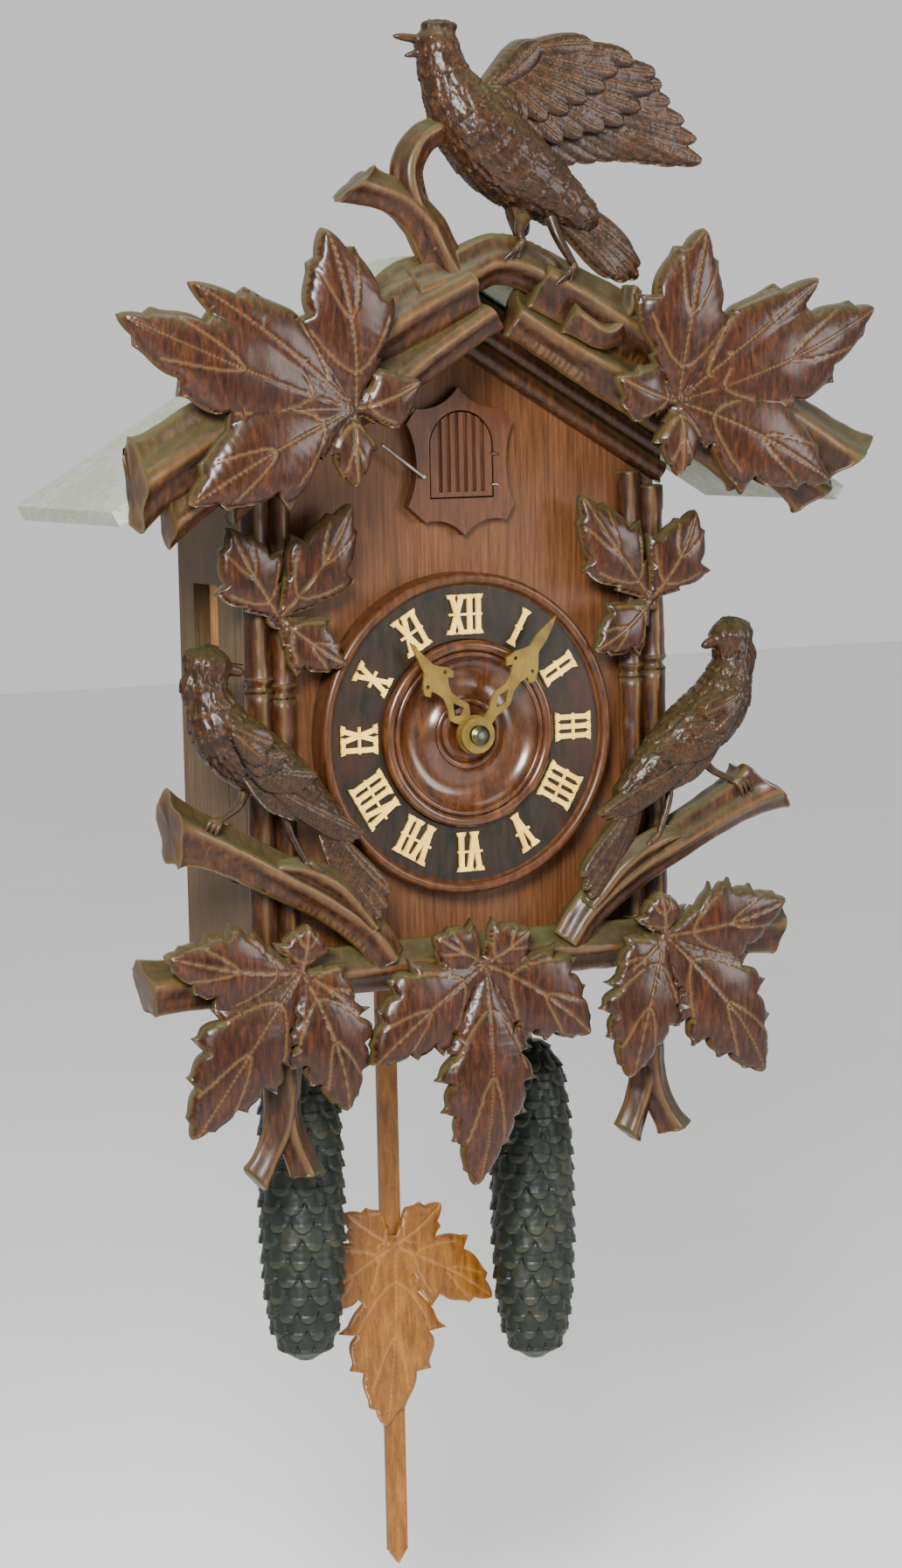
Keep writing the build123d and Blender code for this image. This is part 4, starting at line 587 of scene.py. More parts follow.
def relief(lobes, back, edge=3.2, spacing=1.15, vein=0.48, groove=0.8, thick=5.0, curl=None, extra=(), round_edge=1.6,
           veins=True):
    """A carved plate of lobes. Each lobe is domed to its own edges, and the highest one shows.

    Returns (points, faces, attributes). curl(x, z) moves a place forward, in millimetres."""
    outlines = [lobe.outline() for lobe in lobes] + [list(map(tuple, e)) for e in extra]
    lines = np.vstack([lobe.vein_points(vein) for lobe in lobes]) if veins else ()
    flat, triangles, rim, distance = plate_mesh(outlines, spacing, lines)
    count = len(flat)
    top = np.full(count, -9.0)
    carve, shade = np.zeros(count), np.zeros(count)
    for lobe in lobes:
        t, side, width = lobe.locate(flat)
        x = np.clip(np.abs(side) / width, 0, 1.25)
        inside = np.clip(1 - x ** 2, 0, 1)
        height = lobe.lift + lobe.dome * (inside ** 0.5) * (0.55 + 0.45 * np.sin(math.pi * np.clip(t, 0.05, 0.97)))
        height = height - lobe.pitch * (1 - t)
        line = np.exp(-(side / vein) ** 2) * (t > 0.015)
        ribs = np.zeros(count)
        if veins and lobe.teeth:
            for path in lobe.side_veins():
                ribs = np.maximum(ribs, np.exp(-(edge_distance(flat, path[:-1], path[1:]) / (vein * 0.8)) ** 2))
        elif veins:
            barbs = 0.5 + 0.5 * np.cos((t * lobe.length - np.abs(side) * 1.1) * 2 * math.pi / 2.3)
            height = height - 0.22 * barbs * np.clip(1 - x, 0, 1) ** 0.3
            ribs = 0.25 * (barbs < 0.25)
        height = height - groove * np.maximum(line, 0.45 * ribs)
        height = np.where(x < 1.02, height, -9.0)
        win = height > top
        mark = np.maximum(line * (0.35 if lobe.blunt else 0.8), ribs * 0.5)
        carve = np.where(win, mark, carve)
        # painted shade: feathers darken towards their sides and leaf lobes along their edges, but not at the plate's
        # outer edge
        if lobe.blunt:
            rim_shade = np.clip((x - 0.35) / 0.6, 0, 1) ** 1.4 * 0.95
        else:
            rim_shade = np.clip((x - 0.84) / 0.16, 0, 1) * 0.5
        shade = np.where(win, rim_shade, shade)
        top = np.where(win, height, top)
    top = np.where(top < -8, 0.0, top)
    shade = np.where((distance < 1.0), 0.0, shade)
    bevel = np.clip(distance / round_edge, 0, 1)
    front = edge + top * (1 - (1 - bevel) ** 2.2)
    lean = np.zeros(count) if curl is None else curl(flat[:, 0], flat[:, 1])
    body = edge + (thick - edge) * np.clip(distance / 5.0, 0, 1)
    rear = np.maximum(front - body, 0.0) * 0.75
    wobble = rumple(np.stack([flat[:, 0], np.zeros(count), flat[:, 1]], axis=1), 9.0, 3.1) * 0.25
    points_front = np.stack([flat[:, 0], back - (front + lean + wobble), flat[:, 1]], axis=1)
    points_rear = np.stack([flat[:, 0], back - (rear + lean), flat[:, 1]], axis=1)
    faces = [tuple(f) for f in triangles] + [(f[2] + count, f[1] + count, f[0] + count) for f in triangles]
    worn = np.clip(1 - distance / 0.7, 0, 1) * 0.25
    carve = np.maximum(carve, worn)
    rim_points = sorted({i for pair in rim for i in pair})
    base = 2 * count
    index = {i: base + k for k, i in enumerate(rim_points)}
    index_rear = {i: base + len(rim_points) + k for k, i in enumerate(rim_points)}
    points = np.vstack([points_front, points_rear, points_front[rim_points], points_rear[rim_points]])
    for a, b in rim:
        faces.append((index[b], index[a], index_rear[a], index_rear[b]))
        faces.append((a, b, index[b], index[a]))
        faces.append((index_rear[b], index_rear[a], a + count, b + count))
    extra_points = np.full(2 * len(rim_points), 0.12)
    carve = np.concatenate([carve, np.zeros(count), extra_points])
    shade = np.concatenate([shade, np.zeros(count), extra_points * 0])
    return points, faces, {"carve": carve, "shade": shade}


LUMP_VOXEL = 0.8        # mm


def lump(limbs, balls, smooth=5):
    """Melts tapered limbs and balls into one closed mesh.

    limbs are lists of (x, y, z, radius), and balls are (centre, radii, degrees about y)."""
    strung = [(p, (r, r, r), 0) for limb in limbs for p, r in zip(*through(limb, 2.0))]
    bm = bmesh.new()
    for centre, radii, angle in strung + balls:
        turn = Matrix.Rotation(math.radians(angle), 3, "Y").to_4x4()
        ball = bmesh.ops.create_icosphere(bm, subdivisions=3, radius=1.0)
        bmesh.ops.transform(bm, matrix=Matrix.Translation(Vector(centre)) @ (turn @ Matrix.Diagonal((*radii, 1))),
                            verts=ball["verts"])
    mesh = bpy.data.meshes.new("lump")
    bm.to_mesh(mesh)
    bm.free()
    obj = bpy.data.objects.new("lump", mesh)
    bpy.context.scene.collection.objects.link(obj)
    remesh = obj.modifiers.new("remesh", "REMESH")
    remesh.mode = "VOXEL"
    remesh.voxel_size = LUMP_VOXEL
    soften = obj.modifiers.new("soften", "SMOOTH")
    soften.factor = 0.6
    soften.iterations = smooth
    done = bpy.data.meshes.new_from_object(obj.evaluated_get(bpy.context.evaluated_depsgraph_get()))
    points = np.zeros(len(done.vertices) * 3)
    done.vertices.foreach_get("co", points)
    normals = np.zeros(len(done.vertices) * 3)
    done.vertices.foreach_get("normal", normals)
    faces = [tuple(p.vertices) for p in done.polygons]
    bpy.data.objects.remove(obj)
    bpy.data.meshes.remove(mesh)
    bpy.data.meshes.remove(done)
    return points.reshape(-1, 3), normals.reshape(-1, 3), faces


STROKE_DEPTH = 0.35     # mm


def feathered(points, normals, spine, size, depth, bare):
    """Rows of overlapping feather tips that run along a spine, with gouge strokes between them."""
    path, radii = through([(*p, r) for p, r in spine], 1.0)
    travel = np.concatenate([[0], np.cumsum(np.linalg.norm(np.diff(path, axis=0), axis=1))])
    nearest = np.zeros(len(points), int)
    for k in range(0, len(points), 4000):
        gap = points[k:k + 4000, None] - path[None]
        nearest[k:k + 4000] = np.argmin((gap ** 2).sum(axis=2), axis=1)
    tangent = np.gradient(path, axis=0)
    tangent /= np.linalg.norm(tangent, axis=1)[:, None]
    away = points - path[nearest]
    side = np.cross(tangent, np.array([0.0, -1.0, 0.0]))
    side /= np.linalg.norm(side, axis=1)[:, None]
    angle = np.arctan2((away * side[nearest]).sum(axis=1), -away[:, 1])
    along = travel[nearest]
    rowed = along / size
    across = angle * np.maximum(radii[nearest], 4.0) / (size * 0.42) + 0.5 * (np.floor(rowed) % 2)
    u = rowed % 1.0
    v = np.abs((across % 1.0) * 2 - 1)
    ramp_up = (u + 0.45 * v ** 2) % 1.0
    barbs = 0.5 + 0.5 * np.cos(across * 2 * math.pi * 3 + 1.5 * np.sin(along * 0.9))
    keep = np.ones(len(points))
    for centre, reach in bare:
        gap = np.linalg.norm(points - np.array(centre), axis=1)
        keep *= np.clip((gap - reach) / 3.0, 0, 1)
    swirl = rumple(np.stack([across * 2.2, along * 0.12, angle], axis=1), 1.0, 5.0)
    lift = keep * (depth * (ramp_up - 0.6) + STROKE_DEPTH * (swirl - barbs))
    # paler on the raised feather tips; painted shade in the low step under each tip, and darker thin lines along the
    # barbs
    carve = keep * np.clip((ramp_up - 0.82) / 0.18, 0, 1) * 0.38
    shade = keep * np.clip(1 - ramp_up / 0.16, 0, 1) * 0.8
    return points + normals * lift[:, None], {"carve": carve, "shade": np.maximum(shade, keep * 0.25 * (barbs < 0.2))}


# ---- leaves -------------------------------------------------------------------------------
LEAF_HUB = 5.0          # radius of the disc where the lobes of a leaf meet, in mm


def curl_from(origin, reach, rise, fall):
    """Leaf blades rise from the vein origin and fall back towards their tips."""
    def curl(x, z):
        r = np.hypot(x - origin[0], z - origin[1]) / reach
        return rise * np.sin(np.clip(r, 0, 1.1) * math.pi * 0.75) - fall * np.clip(r - 0.6, 0, 1) ** 1.5
    return curl


def leaf(name, node, origin, lobes, flip=1, body="case", look=CARVED, slot="carved", stands=True,
         dome=3.6, reach=90.0, rise=3.0, fall=7.0, thick=4.2, edge=2.6):
    """A carved leaf against the back of its CAD node, with lobes (tip x, tip z, half width, teeth, bend)."""
    made = []
    for tip_x, tip_z, half_width, teeth, bend in lobes:
        tip = (origin[0] + flip * tip_x, origin[1] + tip_z)
        made.append(Lobe(origin, tip, half_width, teeth, bend * flip, swell=0.52,
                         dome=dome * 1.25 * (half_width / 18) ** 0.5))
    ring = [(origin[0] + LEAF_HUB * math.cos(a), origin[1] + LEAF_HUB * math.sin(a))
            for a in np.arange(14) / 14 * 2 * math.pi]
    mesh = relief(made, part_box(node)[1].y * 1000, edge=edge, thick=thick,
                  curl=curl_from(origin, reach, rise, fall), extra=[ring])
    piece(name, *mesh[:2], body, look, slot, mesh[2], [node] if stands else [])


TOP_LOBES = ((13, 72, 22, 2, 6), (-29, 11, 13, 1, 3), (0, -31, 11, 2, 2), (73, -36, 22, 2, 5), (99, 39, 22, 3, -6),
             (70, 51, 15, 1, 3))
SIDE_LOBES = ((61, 12, 18, 4, -4), (-3, 20, 12, 2, 0), (50, -66, 22, 4, 6), (-19, -61, 20, 4, -5),
              (-24, -17, 12, 2, 0))
CENTRE_LOBES = ((-24, 14, 13, 2, 0), (22, 14, 13, 2, 0), (49, -35, 21, 4, 6), (-55, -38, 21, 4, -6),
                (-6, -96, 22, 5, 4))
SPRIG_LOBES = ((-34, 46, 16, 2, 4), (22, 38, 16, 2, -4), (-29, -21, 13, 2, 3))
for side, word in ((-1, "left"), (1, "right")):
    leaf(f"carved_top_leaf_{word}", f"top_leaf_{word}", (side * 74.5, 139.5), TOP_LOBES, side,
         dome=5.2, reach=104, rise=4.5, fall=11)
    leaf(f"carved_bottom_leaf_{word}", f"bottom_leaf_{word}", (side * 87.0, -93.5), SIDE_LOBES, side,
         dome=4.8, reach=84, rise=4.0, fall=9)
    leaf(f"carved_sprig_{word}", "sprig_leaves", (side * 88.3, 54.0), SPRIG_LOBES, side, stands=side > 0,
         reach=60, fall=6)
leaf("carved_centre_leaf", "bottom_leaf_centre", (-1.6, -98.0), CENTRE_LOBES, dome=5.0, reach=100, rise=4.5, fall=10)
PENDULUM_X = JOINTS["pendulum_swing"]["pos_m"][0] * 1000
PENDULUM_LOBES = ((-23, 18, 11, 1, 2), (24, 17, 11, 1, -2), (-41, -25, 16, 2, -4), (49, -30, 16, 2, 4),
                  (-6, -83, 23, 3, 3))
leaf("carved_pendulum_leaf", "pendulum_leaf", (PENDULUM_X, -238.0), PENDULUM_LOBES, body="pendulum", look=HONEY,
     slot="pendulum_wood", dome=1.6, reach=84, rise=0.8, fall=2.5, thick=2.6, edge=1.8)

# ---- logs, posts, rail and branches -------------------------------------------------------
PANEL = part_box("front_panel")[0].y * 1000
ROOF_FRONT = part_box("roof_boards")[0].y * 1000
LOG_Y = ROOF_FRONT - 5.0
CROWN_Y = LOG_Y - 1.0
RAIL_Y = PANEL - 9.0
BRANCH_Y = PANEL - 16.5
TWIG_Y = PANEL - 4.0


def bar(side, y, stations, flutes=4, depth=0.12, **more):
    """A carved bar through (x, y offset, z, radius) stations, for the right side (1) or the left (-1)."""
    stations = [(side * x, y + dy, z, r) for x, dy, z, r in stations]
    return sweep(stations, flutes=flutes, depth=depth, **more)


def bars(name, parts, node):
    points, faces, marks = merge(parts)
    return piece(name, points, faces, "case", BARK, "carved", marks, [node])


logs, posts, branches, twigs = [], [], [], []
for side in (-1, 1):
    logs.append(bar(side, LOG_Y, ((16, 0, 191, 12.5), (66, 0, 167, 13), (112, 0, 142, 14), (164, 0, 111.5, 13.5)),
                    flutes=5, back=ROOF_FRONT, flare=(1.0, 1.22), notches=((0.30, 0.55), (0.62, 0.72)),
                    seed=side * 2.0, cut=(0.0, 0.5), sides=36))
    logs.append(bar(side, LOG_Y, ((6, 0.5, 178, 8.0), (60, -0.5, 146, 9.5), (122, 0, 108.5, 9.0)), depth=0.15,
                    back=ROOF_FRONT, flare=(1.1, 1.3), notches=((0.1, 0.3),), seed=side * 3.0 + 1, cut=(0.3, 0.6)))
    logs.append(bar(side, LOG_Y, ((98, 1, 129, 6), (126, -2, 112, 6.5), (150, -1, 97.5, 8)), back=ROOF_FRONT,
                    flare=(1.0, 1.3), seed=side * 4.0 + 2, cut=(0.0, 0.5)))
    for post_x, post_r, node_z, post_top in ((94.0, 5.9, 25.0, 103.0), (83.5, 5.4, 22.0, 109.5)):
        profile = ((-87, 1), (-40, 0.97), (node_z - 7, 1), (node_z - 2.6, 1.12), (node_z, 0.84), (node_z + 2.6, 1.16),
                   (node_z + 8, 1.02), (70, 0.97), (post_top, 1))
        notches = ((0.02, 0.45), (0.78, 0.95)) if (side > 0 and post_x > 90) else ()
        posts.append(bar(side, PANEL - 3.5, [(post_x, 0, z, post_r * swell) for z, swell in profile], depth=0.05,
                         back=PANEL, seed=side * 5.0 + post_x, step=1.1, notches=notches, sides=26))
    branches.append(bar(side, BRANCH_Y, ((141, -1, -30.5, 11), (124, -1, -38, 9.6), (100, 0, -50, 9),
                                         (74, 0, -64, 8.4), (54, 1, -79, 8), (43, 2, -93, 7.5)),
                        flutes=5, depth=0.13, flare=(1.28, 1.0), notches=((0.18, 0.44), (0.56, 0.9)),
                        seed=side * 6.0 + 1, cut=(0.55, 0.0), sides=36))
    branches.append(bar(side, BRANCH_Y, ((96, -5.5, -49, 3.0), (84, -7, -51, 5.0), (68, -6.5, -60, 5.4),
                                         (52, -4, -78, 4.5)), seed=side * 6.0 + 3))
    twigs.append(bar(side, TWIG_Y, ((87, 0, -106, 8), (88, 0, -140, 8), (90, 0, -160, 7), (96, 0, -174, 5.6),
                                    (102, 0, -184, 5.6)),
                     back=PANEL, flare=(1.0, 1.3), seed=side * 8.0, cut=(0, 0.3)))
    twigs.append(bar(side, TWIG_Y, ((88, 0, -150, 6.5), (85, 0, -166, 6), (78, 0, -184, 5)), back=PANEL,
                     flare=(1.0, 1.35), seed=side * 9.0, cut=(0, 0.3)))
bars("carved_logs", logs, "bark_logs")

crown = [
    bar(1, CROWN_Y, ((30, 0, 184, 8), (14, -1, 196, 9.5), (-4, 0, 200, 10), (-22, 0, 192, 10), (-40, 0, 186, 9)),
        flutes=5, back=ROOF_FRONT, notches=((0.2, 0.5),), seed=7.0),
    bar(1, CROWN_Y, ((-18, 0, 188, 9), (-27, 0, 200, 8.5), (-34, 0, 213, 8), (-46, 0, 224, 7.2), (-65, 0, 230, 6.2)),
        flutes=5, flare=(1.0, 1.45), seed=9.0, cut=(0, 0.7)),
    bar(1, CROWN_Y, ((-30, 0, 204, 7.5), (-39, 0, 222, 7), (-41, 0, 236, 6.5), (-35, 0, 247, 6), (-26, 0, 252, 5.4)),
        notches=((0.2, 0.6),), seed=11.0),
    bar(1, CROWN_Y, ((-26, 3, 192, 8), (-42, 3, 192, 7), (-62, 3, 181, 5)), back=ROOF_FRONT, seed=12.0),
    bar(1, CROWN_Y, ((28, -7, 176, 5), (44, -8, 168, 5.5), (56, -7, 176, 4.5), (60, -5, 187, 3.5)), seed=14.0,
        flare=(1.5, 1.2)),
]
bars("carved_crown_branch", crown, "crown_branch")

RAIL_Z, RAIL_R = -97.0, 10.5
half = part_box("bottom_rail")[1].x * 1000 - 2
rail = bar(1, RAIL_Y, ((-half, 0, RAIL_Z, RAIL_R), (-60, 0, RAIL_Z, RAIL_R - 0.5), (60, 0, RAIL_Z, RAIL_R - 0.5),
                       (half, 0, RAIL_Z, RAIL_R)),
           flutes=5, depth=0.09, back=PANEL, notches=((0.24, 0.46), (0.62, 0.75)), flare=(1.12, 1.12), seed=20.0,
           cut=(0.25, 0.25), sides=36)
bars("carved_rail", [rail], "bottom_rail")
bars("carved_posts", posts, "corner_posts")
bars("carved_branches", branches, "perch_branches")
bars("carved_twigs", twigs, "forked_twigs")

# ---- birds --------------------------------------------------------------------------------
PERCH_Y = BRANCH_Y - 5


def feathers(rows, back, **more):
    """Relief of overlapping feathers, given as (start, tip, half width, lift, bend)."""
    lobes = [Lobe(start, tip, width, 0, bend, swell=0.62, blunt=True, lift=lift, dome=2.1, pitch=1.6)
             for start, tip, width, lift, bend in rows]
    return relief(lobes, back, edge=1.8, spacing=0.9, vein=0.42, groove=0.7, thick=3.0, round_edge=0.9, **more)


def fan(roots, tips, width, lift, lift_step, bend=0.0, dense=1):
    """Feathers from evenly spread roots to tips along a row of points, each a little higher than the last."""
    count = dense * (len(tips) - 1) + 1
    rows = []
    for k in range(count):
        ends = []
        for line in (roots, tips):
            place = k / (count - 1) * (len(line) - 1)
            i = min(int(place), len(line) - 2)
            ends.append([a + (b - a) * (place - i) for a, b in zip(line[i], line[i + 1])])
        rows.append((*ends, width / dense ** 0.6, lift + lift_step * k / dense, bend))
    return rows


def mirrored(part, side):
    points = np.array(part[0], float)
    points[:, 0] *= side
    return points, part[1], part[2]


def leg(top, knee, foot, forward, toe_y, spread):
    """A thin leg through (x, y, z, radius) points, and three toes over the front of the perch."""
    parts = [rod([top, knee, foot], 14, 0.15, 1.0)]
    x, _, z, _ = foot
    for k in (-1, 0, 1):
        toe = [(x, toe_y, z, 1.3), (x + forward * 3.5 + k * 1.6, toe_y - 2.2, z - 1.5 + k * spread * 0.5, 1.2),
               (x + forward * 6.5 + k * spread, toe_y - 1.2, z - 6.5 + k * 0.8, 0.7)]
        parts.append(rod(toe, 10, 0.1, 0.9))
    return parts


def bird(name, parts, node):
    points, faces, marks = merge(parts)
    return piece(name, points, faces, "case", FEATHERED, "carved", marks, [node])


def side_bird(side, word):
    """A bird at rest on its branch, head turned to the dial."""
    y = PERCH_Y
    spine = [((124, y, 44), 5), ((124.5, y, 34), 10), ((123, y, 20), 11), ((116, y, 6), 14), ((104, y, -5), 14.5),
             ((86, y, -17), 11), ((68, y + 1, -34), 7)]
    body = [(124.3, y, 35, 9.0), (124.2, y, 24, 9.2), (118, y, 8, 13.4), (104, y, -4, 14.0), (88, y, -15, 10.6),
            (72, y + 1, -30, 7.0)]
    head, crest, eye = (124.2, y, 36), (127, y + 1, 42.0), (120.5, y - 7.2, 37)
    beak, nape, belly = (114.5, y - 1.5, 34.5), (132, y, 26), (97, y, -15)
    points, normals, faces = lump([body], [
        (head, (10.4, 9.0, 9.0), 0), (crest, (8.0, 4.4, 3.2), 14), (eye, (2.4, 1.8, 2.4), 0),
        (beak, (7.0, 2.6, 2.7), -18), (nape, (4.0, 5.0, 9.0), 10), (belly, (9, 8, 8), 0)])
    points, marks = feathered(points, normals, spine, size=8.5, depth=0.8,
                              bare=(((120.5, y - 8, 37), 2.6), ((112, y - 2, 34), 5.0)))
    parts = [(points, faces, marks)]
    wing = fan([(121, 8), (113, -6)], [(96, -26), (88, -29), (80, -31), (73, -36), (66, -40), (61, -41), (56, -38)],
               5.4, 0.0, 0.55, 3.0, 2)
    wing += fan([(121, 10), (112, -4)], [(101, -16), (95, -17), (88, -17), (83, -15), (79, -11)],
                5.0, 3.4, 0.35, 2.0, 2)
    wing += fan([(121, 12), (113, 0)], [(107, -9), (102, -8), (97, -6), (94, -1)], 4.6, 5.2, 0.3, 1.0, 2)
    wing += [((121, 13), (101, 4), 5.4, 6.6, 1.0), ((120, 10), (106, -3), 5.2, 6.8, 0.5)]
    parts.append(feathers(wing, y - 7.5, curl=lambda x, z: -0.16 * np.clip(112 - x, 0, 60)))
    tail = fan([(80, -20), (74, -30)], [(58, -71), (54, -75), (50, -74), (47, -70), (45.5, -64)], 4.2, 0.4, 0.5, 3.0)
    parts.append(feathers(tail, y - 0.5, curl=lambda x, z: 0.02 * (80 - x)))
    for foot_x, foot_z, top_x, top_z, forward in ((122, -27, 108, -15, 1), (84, -48, 92, -16, -1)):
        knee = (top_x * 0.45 + foot_x * 0.55 - 3 * forward, y - 2, (top_z + foot_z) / 2 - 1, 1.7)
        parts += leg((top_x, y + 1, top_z, 2.6), knee, (foot_x, y - 4.5, foot_z, 1.4), forward, y - 4.5, 2.4)
    return bird(f"carved_side_bird_{word}", [mirrored(p, side) for p in parts], f"side_bird_{word}")


def crown_bird():
    """The bird on top, calling, with its wing spread behind it."""
    y = CROWN_Y
    spine = [((-27, y, 292), 8), ((-26, y, 282), 9), ((-21, y, 266), 11), ((-10, y, 250), 15), ((6, y, 236), 15),
             ((26, y, 226), 11), ((42, y, 212), 8)]
    body = [(-26, y, 284, 9.4), (-22, y, 271, 11.2), (-11, y, 254, 16.5), (4, y, 240, 17.5), (22, y, 228, 13.5),
            (38, y, 217, 9)]
    thigh = [(8, y, 230, 8), (9, y, 222, 6), (10, y - 1, 212, 4)]
    head, crest, eye = (-26.5, y, 286), (-25, y, 293.5), (-31.5, y - 6.6, 288)
    beak_top, beak_low, shoulder = (-37, y, 288.2), (-34, y, 282.6), (0, y - 2, 262)
    points, normals, faces = lump([body, thigh], [
        (head, (9.6, 8.6, 8.6), 0), (crest, (8.8, 5.2, 3.2), 2), (beak_top, (9.5, 2.5, 1.9), 6),
        (beak_low, (7.6, 2.3, 1.6), -12), (eye, (2.2, 1.6, 2.2), 0), (shoulder, (12, 9, 8), 35)], smooth=4)
    points, marks = feathered(points, normals, spine, size=9.0, depth=0.8,
                              bare=(((-31.5, y - 7, 288), 2.4), ((-40, y, 286), 6.0)))
    parts = [(points, faces, marks)]
    wing = fan([(0, 262), (26, 276)],
               [(30, 240), (40, 240), (50, 241), (60, 242), (70, 242), (80, 241), (90, 240), (100, 240), (97, 249),
                (91, 257), (84, 265), (80, 272)], 5.6, 0.0, 0.42, -2.0)
    wing += fan([(-2, 268), (20, 283)],
                [(20, 248), (30, 248), (40, 250), (50, 253), (60, 256), (68, 262), (74, 270), (76, 277)],
                5.4, 5.4, 0.1, -1.5)
    wing += fan([(-4, 272), (14, 286)], [(12, 256), (22, 257), (32, 260), (41, 265), (50, 270), (56, 277), (58, 283)],
                5.2, 7.2, 0.1, -1.0)
    wing += [((-7, 268), (18, 288), 6.5, 8.0, -2.0), ((8, 284), (44, 288), 5.2, 8.2, 1.5),
             ((36, 288), (64, 281), 4.6, 8.0, 1.0)]
    parts.append(feathers(wing, y + 7, curl=lambda x, z: 0.05 * np.clip(60 - x, 0, 70)))
    tail = fan([(26, 228), (24, 216)], [(62, 201), (65, 196), (64, 191), (59, 190), (53, 192)], 4.6, 0.6, 0.5, 2.0)
    parts.append(feathers(tail, y - 1))
    for foot, top in (((6, 206), (10, 216)), ((30, 196), (22, 220))):
        knee = ((foot[0] + top[0]) / 2 - 2, y - 8, (foot[1] + top[1]) / 2, 2.2)
        parts += leg((top[0], y - 3, top[1], 3.4), knee, (foot[0], y - 11, foot[1], 1.6), -1, y - 11.5, 3.4)
    return bird("carved_crown_bird", parts, "crown_bird")


side_bird(-1, "left")
side_bird(1, "right")
crown_bird()


# ---- cone weights -------------------------------------------------------------------------
SCALES_AROUND = 10
SCALE_PITCH = 8.2       # mm between rows of scales
SCALE_REACH = 1.42      # rows that a scale covers at its middle


def cone(name, node, body):
    """Cast pine cone: rows of rounded scales that overlap downwards, set in spirals."""
    low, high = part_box(node)
    cx, cy = (low.x + high.x) * 500, (low.y + high.y) * 500
    top, foot = high.z * 1000 - DIAL, low.z * 1000 - DIAL + 4
    length, radius = top - foot, (high.x - low.x) * 500
    rings, sides = 330, 168
    s = np.linspace(0, 1, rings)
    shape = np.interp(s, [0, 0.02, 0.09, 0.25, 0.42, 0.62, 0.78, 0.90, 0.965, 1.0],
                      [0.30, 0.52, 0.82, 0.96, 1.0, 1.0, 0.95, 0.83, 0.66, 0.20]) * (radius - 0.4)
    points, carve, shade = [], [], []
    for k in range(rings):
        turn = np.arange(sides) / sides * 2 * math.pi
        row_at = s[k] * length / SCALE_PITCH
        level = np.floor(row_at)
        cells = turn / (2 * math.pi) * SCALES_AROUND
        u0 = row_at - level
        best = np.full(sides, -1.0)
        for back_rows in (0, 1):
            u = u0 + back_rows
            v = ((cells + 0.5 * ((level - back_rows) % 2) + 0.07 * (level - back_rows)) % 1.0) * 2 - 1
            tip = SCALE_REACH * np.sqrt(np.clip(1 - (np.abs(v) / 1.12) ** 2.2, 0, 1))
            inside = u < tip
            rise = np.where(inside, 0.30 + 0.70 * (u / SCALE_REACH) ** 0.8 - 0.25 * np.abs(v) ** 2, -1.0)
            best = np.maximum(best, rise - 0.12 * (1 - back_rows))
        best = np.clip(best, 0, 1)
        fade = min(1.0, (1 - s[k]) / 0.05) * min(1.0, s[k] / 0.015 + 0.2)
        r = shape[k] - 2.6 * fade + best * 3.2 * fade * (0.75 + 0.25 * shape[k] / radius)
        z = top - s[k] * length
        points.append(np.stack([cx + r * np.sin(turn), cy - r * np.cos(turn), np.full(sides, z)], axis=1))
        # painted highlight on the raised scale lips, painted shade in the hollows between the scales
        carve.append(np.clip((best - 0.72) / 0.28, 0, 1) * 0.6 * fade)
        shade.append(np.clip(1 - best / 0.35, 0, 1) * 0.9 * fade)
    points = np.vstack(points)
    n = rumple(points, 2.6, radius)
    points[:, 0] += n * 0.22
    points[:, 1] += np.roll(n, 7) * 0.22
    faces = tube_faces(rings, sides)
    points = np.vstack([points, [[cx, cy, top], [cx, cy, foot]]])
    faces += [(len(points) - 2, (i + 1) % sides, i) for i in range(sides)]
    base = (rings - 1) * sides
    faces += [(len(points) - 1, base + i, base + (i + 1) % sides) for i in range(sides)]
    marks = {"carve": np.append(np.concatenate(carve), [0, 0]), "shade": np.append(np.concatenate(shade), [0, 0])}
    return piece(name, points, faces, body, IRON, "cone_iron", marks, [node])


cone("cast_cone_left", "cone_weight_left", "time_weight")
cone("cast_cone_right", "cone_weight_right", "strike_weight")

# ---- bellows leather, door hinge wires and dial pins ---------------------------------------
for side, word in ((-1, "left"), (1, "right")):
    low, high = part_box(f"bellows_top_{word}")
    x0, x1, y0, y1 = low.x * 1000, high.x * 1000, low.y * 1000, high.y * 1000
    foot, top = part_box("whistle_boxes")[1].z * 1000 - DIAL + 0.1, low.z * 1000 - DIAL - 0.1
    folds, points, inner_fold_shade = 8, [], []
    for k in range(folds + 1):
        inset = 0.6 + 2.2 * (k % 2)
        z = foot + (top - foot) * k / folds
        points += [(x0 + inset, y0 + inset, z), (x1 - inset, y0 + inset, z), (x1 - inset, y1 - inset, z),
                   (x0 + inset, y1 - inset, z)]
        # painted shade on the inset folds
        inner_fold_shade += [float(k % 2)] * 4
    faces = tube_faces(folds + 1, 4) + [(3, 2, 1, 0), (4 * folds, 4 * folds + 1, 4 * folds + 2, 4 * folds + 3)]
    skin = piece(f"bellows_skin_{word}", points, faces, None, LEATHER, "raw_wood",
                 {"shade": np.array(inner_fold_shade) * 0.4})
    skin.data.shade_flat()
    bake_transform(skin)

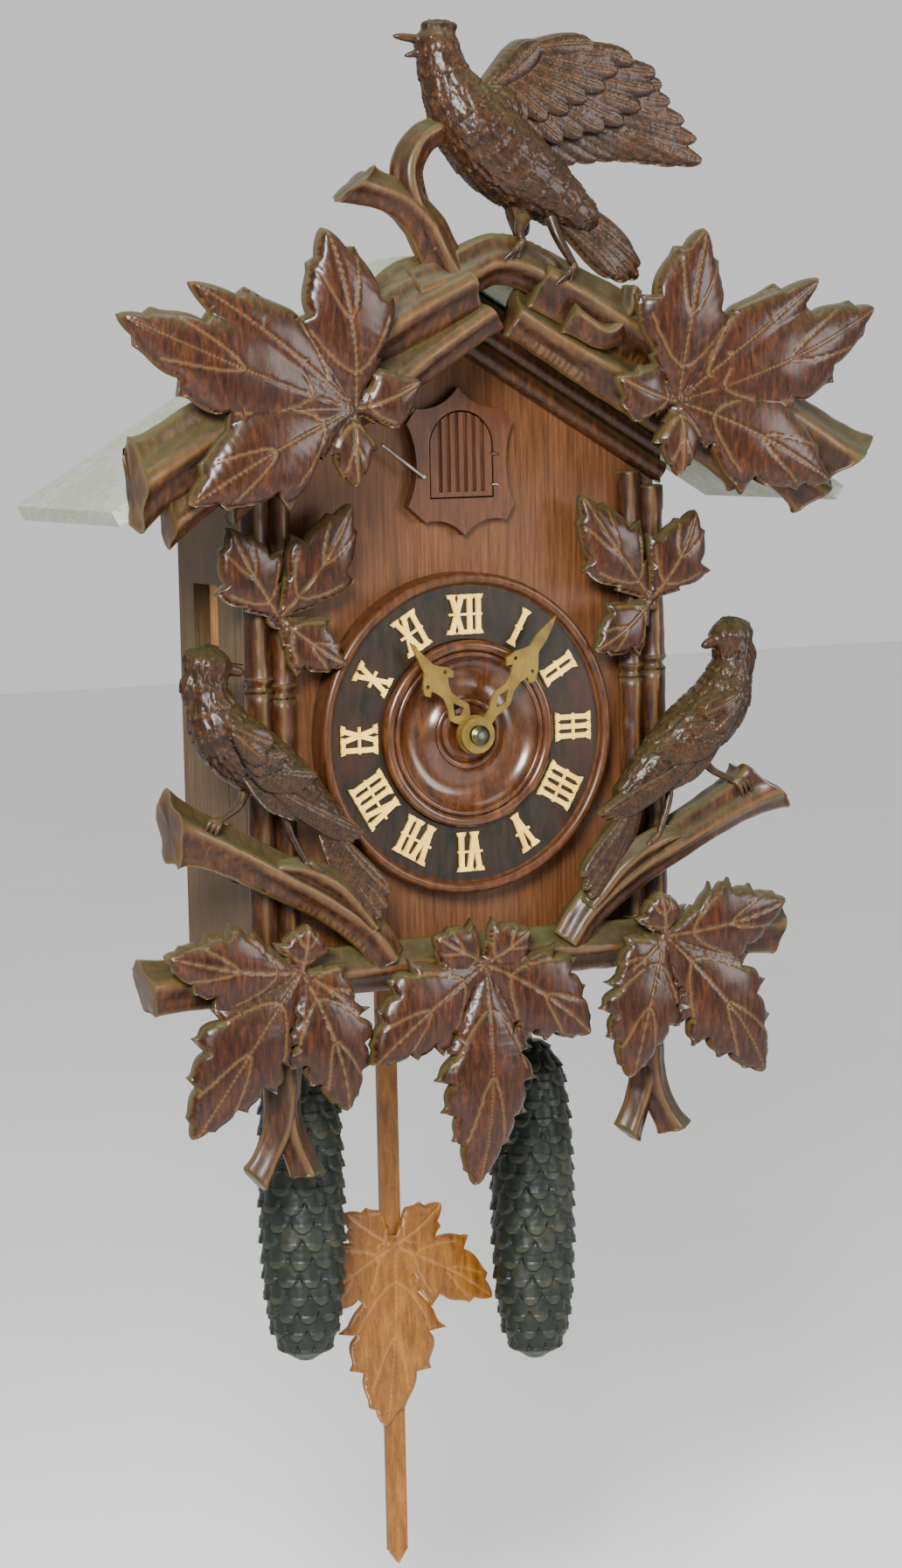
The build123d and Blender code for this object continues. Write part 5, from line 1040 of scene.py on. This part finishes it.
SHIELD_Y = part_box("door_shield")[0].y * 1000
DOOR_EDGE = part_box("cuckoo_door")[1].x * 1000
wires = merge([rod([(DOOR_EDGE - 0.2, SHIELD_Y - 0.5, z, 0.55), (DOOR_EDGE + 1.4, SHIELD_Y - 0.7, z, 0.55),
                    (DOOR_EDGE + 2.8, SHIELD_Y - 0.3, z - 0.4, 0.5)], 12, 0.05, 0.5) for z in (106.0, 119.0)])
piece("door_hinge_wires", *wires[:2], "case", STEEL, "steel", wires[2])
DIAL_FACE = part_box("numerals")[1].y * 1000
PIN_CIRCLE = 62.0       # radius, mm
pins = merge([rod([(PIN_CIRCLE * math.sin(a), DIAL_FACE + 0.4, PIN_CIRCLE * math.cos(a), 0.75),
                   (PIN_CIRCLE * math.sin(a), DIAL_FACE - 0.7, PIN_CIRCLE * math.cos(a), 0.6)], 12, 0.0, 0.4)
              for a in (0.0, math.pi / 2, math.pi, -math.pi / 2)])
piece("dial_pins", *pins[:2], "case", BRASS, "brass", pins[2])

# ---- floor, light and camera --------------------------------------------------------------


def stage_floor():
    size, z = 6.0, cad_low.z - 0.12
    mesh = bpy.data.meshes.new("floor")
    mesh.from_pydata([(-size, -size, z), (size, -size, z), (size, size, z), (-size, size, z)], [], [(0, 1, 2, 3)])
    s = Shader("floor_pale", rough=0.85)
    s.colour(s.ramp(s.noise(s.coords, 2.0), ((0.3, (0.80, 0.80, 0.79)), (0.7, (0.84, 0.84, 0.83)))))
    mesh.materials.append(s.mat)
    floor = bpy.data.objects.new("floor", mesh)
    bpy.context.scene.collection.objects.link(floor)


def softbox(name, place, target, size, power):
    light = bpy.data.lights.new(name, "AREA")
    light.shape = "RECTANGLE"
    light.size, light.size_y = size
    light.energy = power
    obj = bpy.data.objects.new(name, light)
    obj.location = place
    obj.rotation_euler = (Vector(target) - Vector(place)).to_track_quat("-Z", "Y").to_euler()
    bpy.context.scene.collection.objects.link(obj)


stage_floor()
world = bpy.data.worlds.new("studio")
world.use_nodes = True
world.node_tree.nodes["Background"].inputs["Color"].default_value = (1.0, 1.0, 1.0, 1)
world.node_tree.nodes["Background"].inputs["Strength"].default_value = 0.80
bpy.context.scene.world = world
centre = (cad_low + cad_high) / 2
softbox("key", (-0.80, -1.25, 0.45), centre, (0.40, 0.40), 62)
softbox("fill", (1.1, -1.3, 0.1), centre, (0.6, 0.6), 16)
softbox("top", (0.1, -0.5, 1.3), centre, (0.9, 0.6), 9)

camera_data = bpy.data.cameras.new("camera")
camera_data.sensor_fit = "VERTICAL"
camera_data.sensor_height = 36.0
camera_data.lens = 80.31
camera = bpy.data.objects.new("camera", camera_data)
yaw, pitch, roll = (math.radians(a) for a in (26.009, 6.432, -1.2026))
look = Vector((math.sin(yaw) * math.cos(pitch), math.cos(yaw) * math.cos(pitch), -math.sin(pitch)))
right = look.cross(Vector((0, 0, 1))).normalized()
up = right.cross(look)
right, up = math.cos(roll) * right + math.sin(roll) * up, -math.sin(roll) * right + math.cos(roll) * up
camera.matrix_world = Matrix.Translation((-0.6612, -1.4204, -0.0185)) @ Matrix((right, up, -look)).transposed().to_4x4()
bpy.context.scene.collection.objects.link(camera)
bpy.context.scene.camera = camera
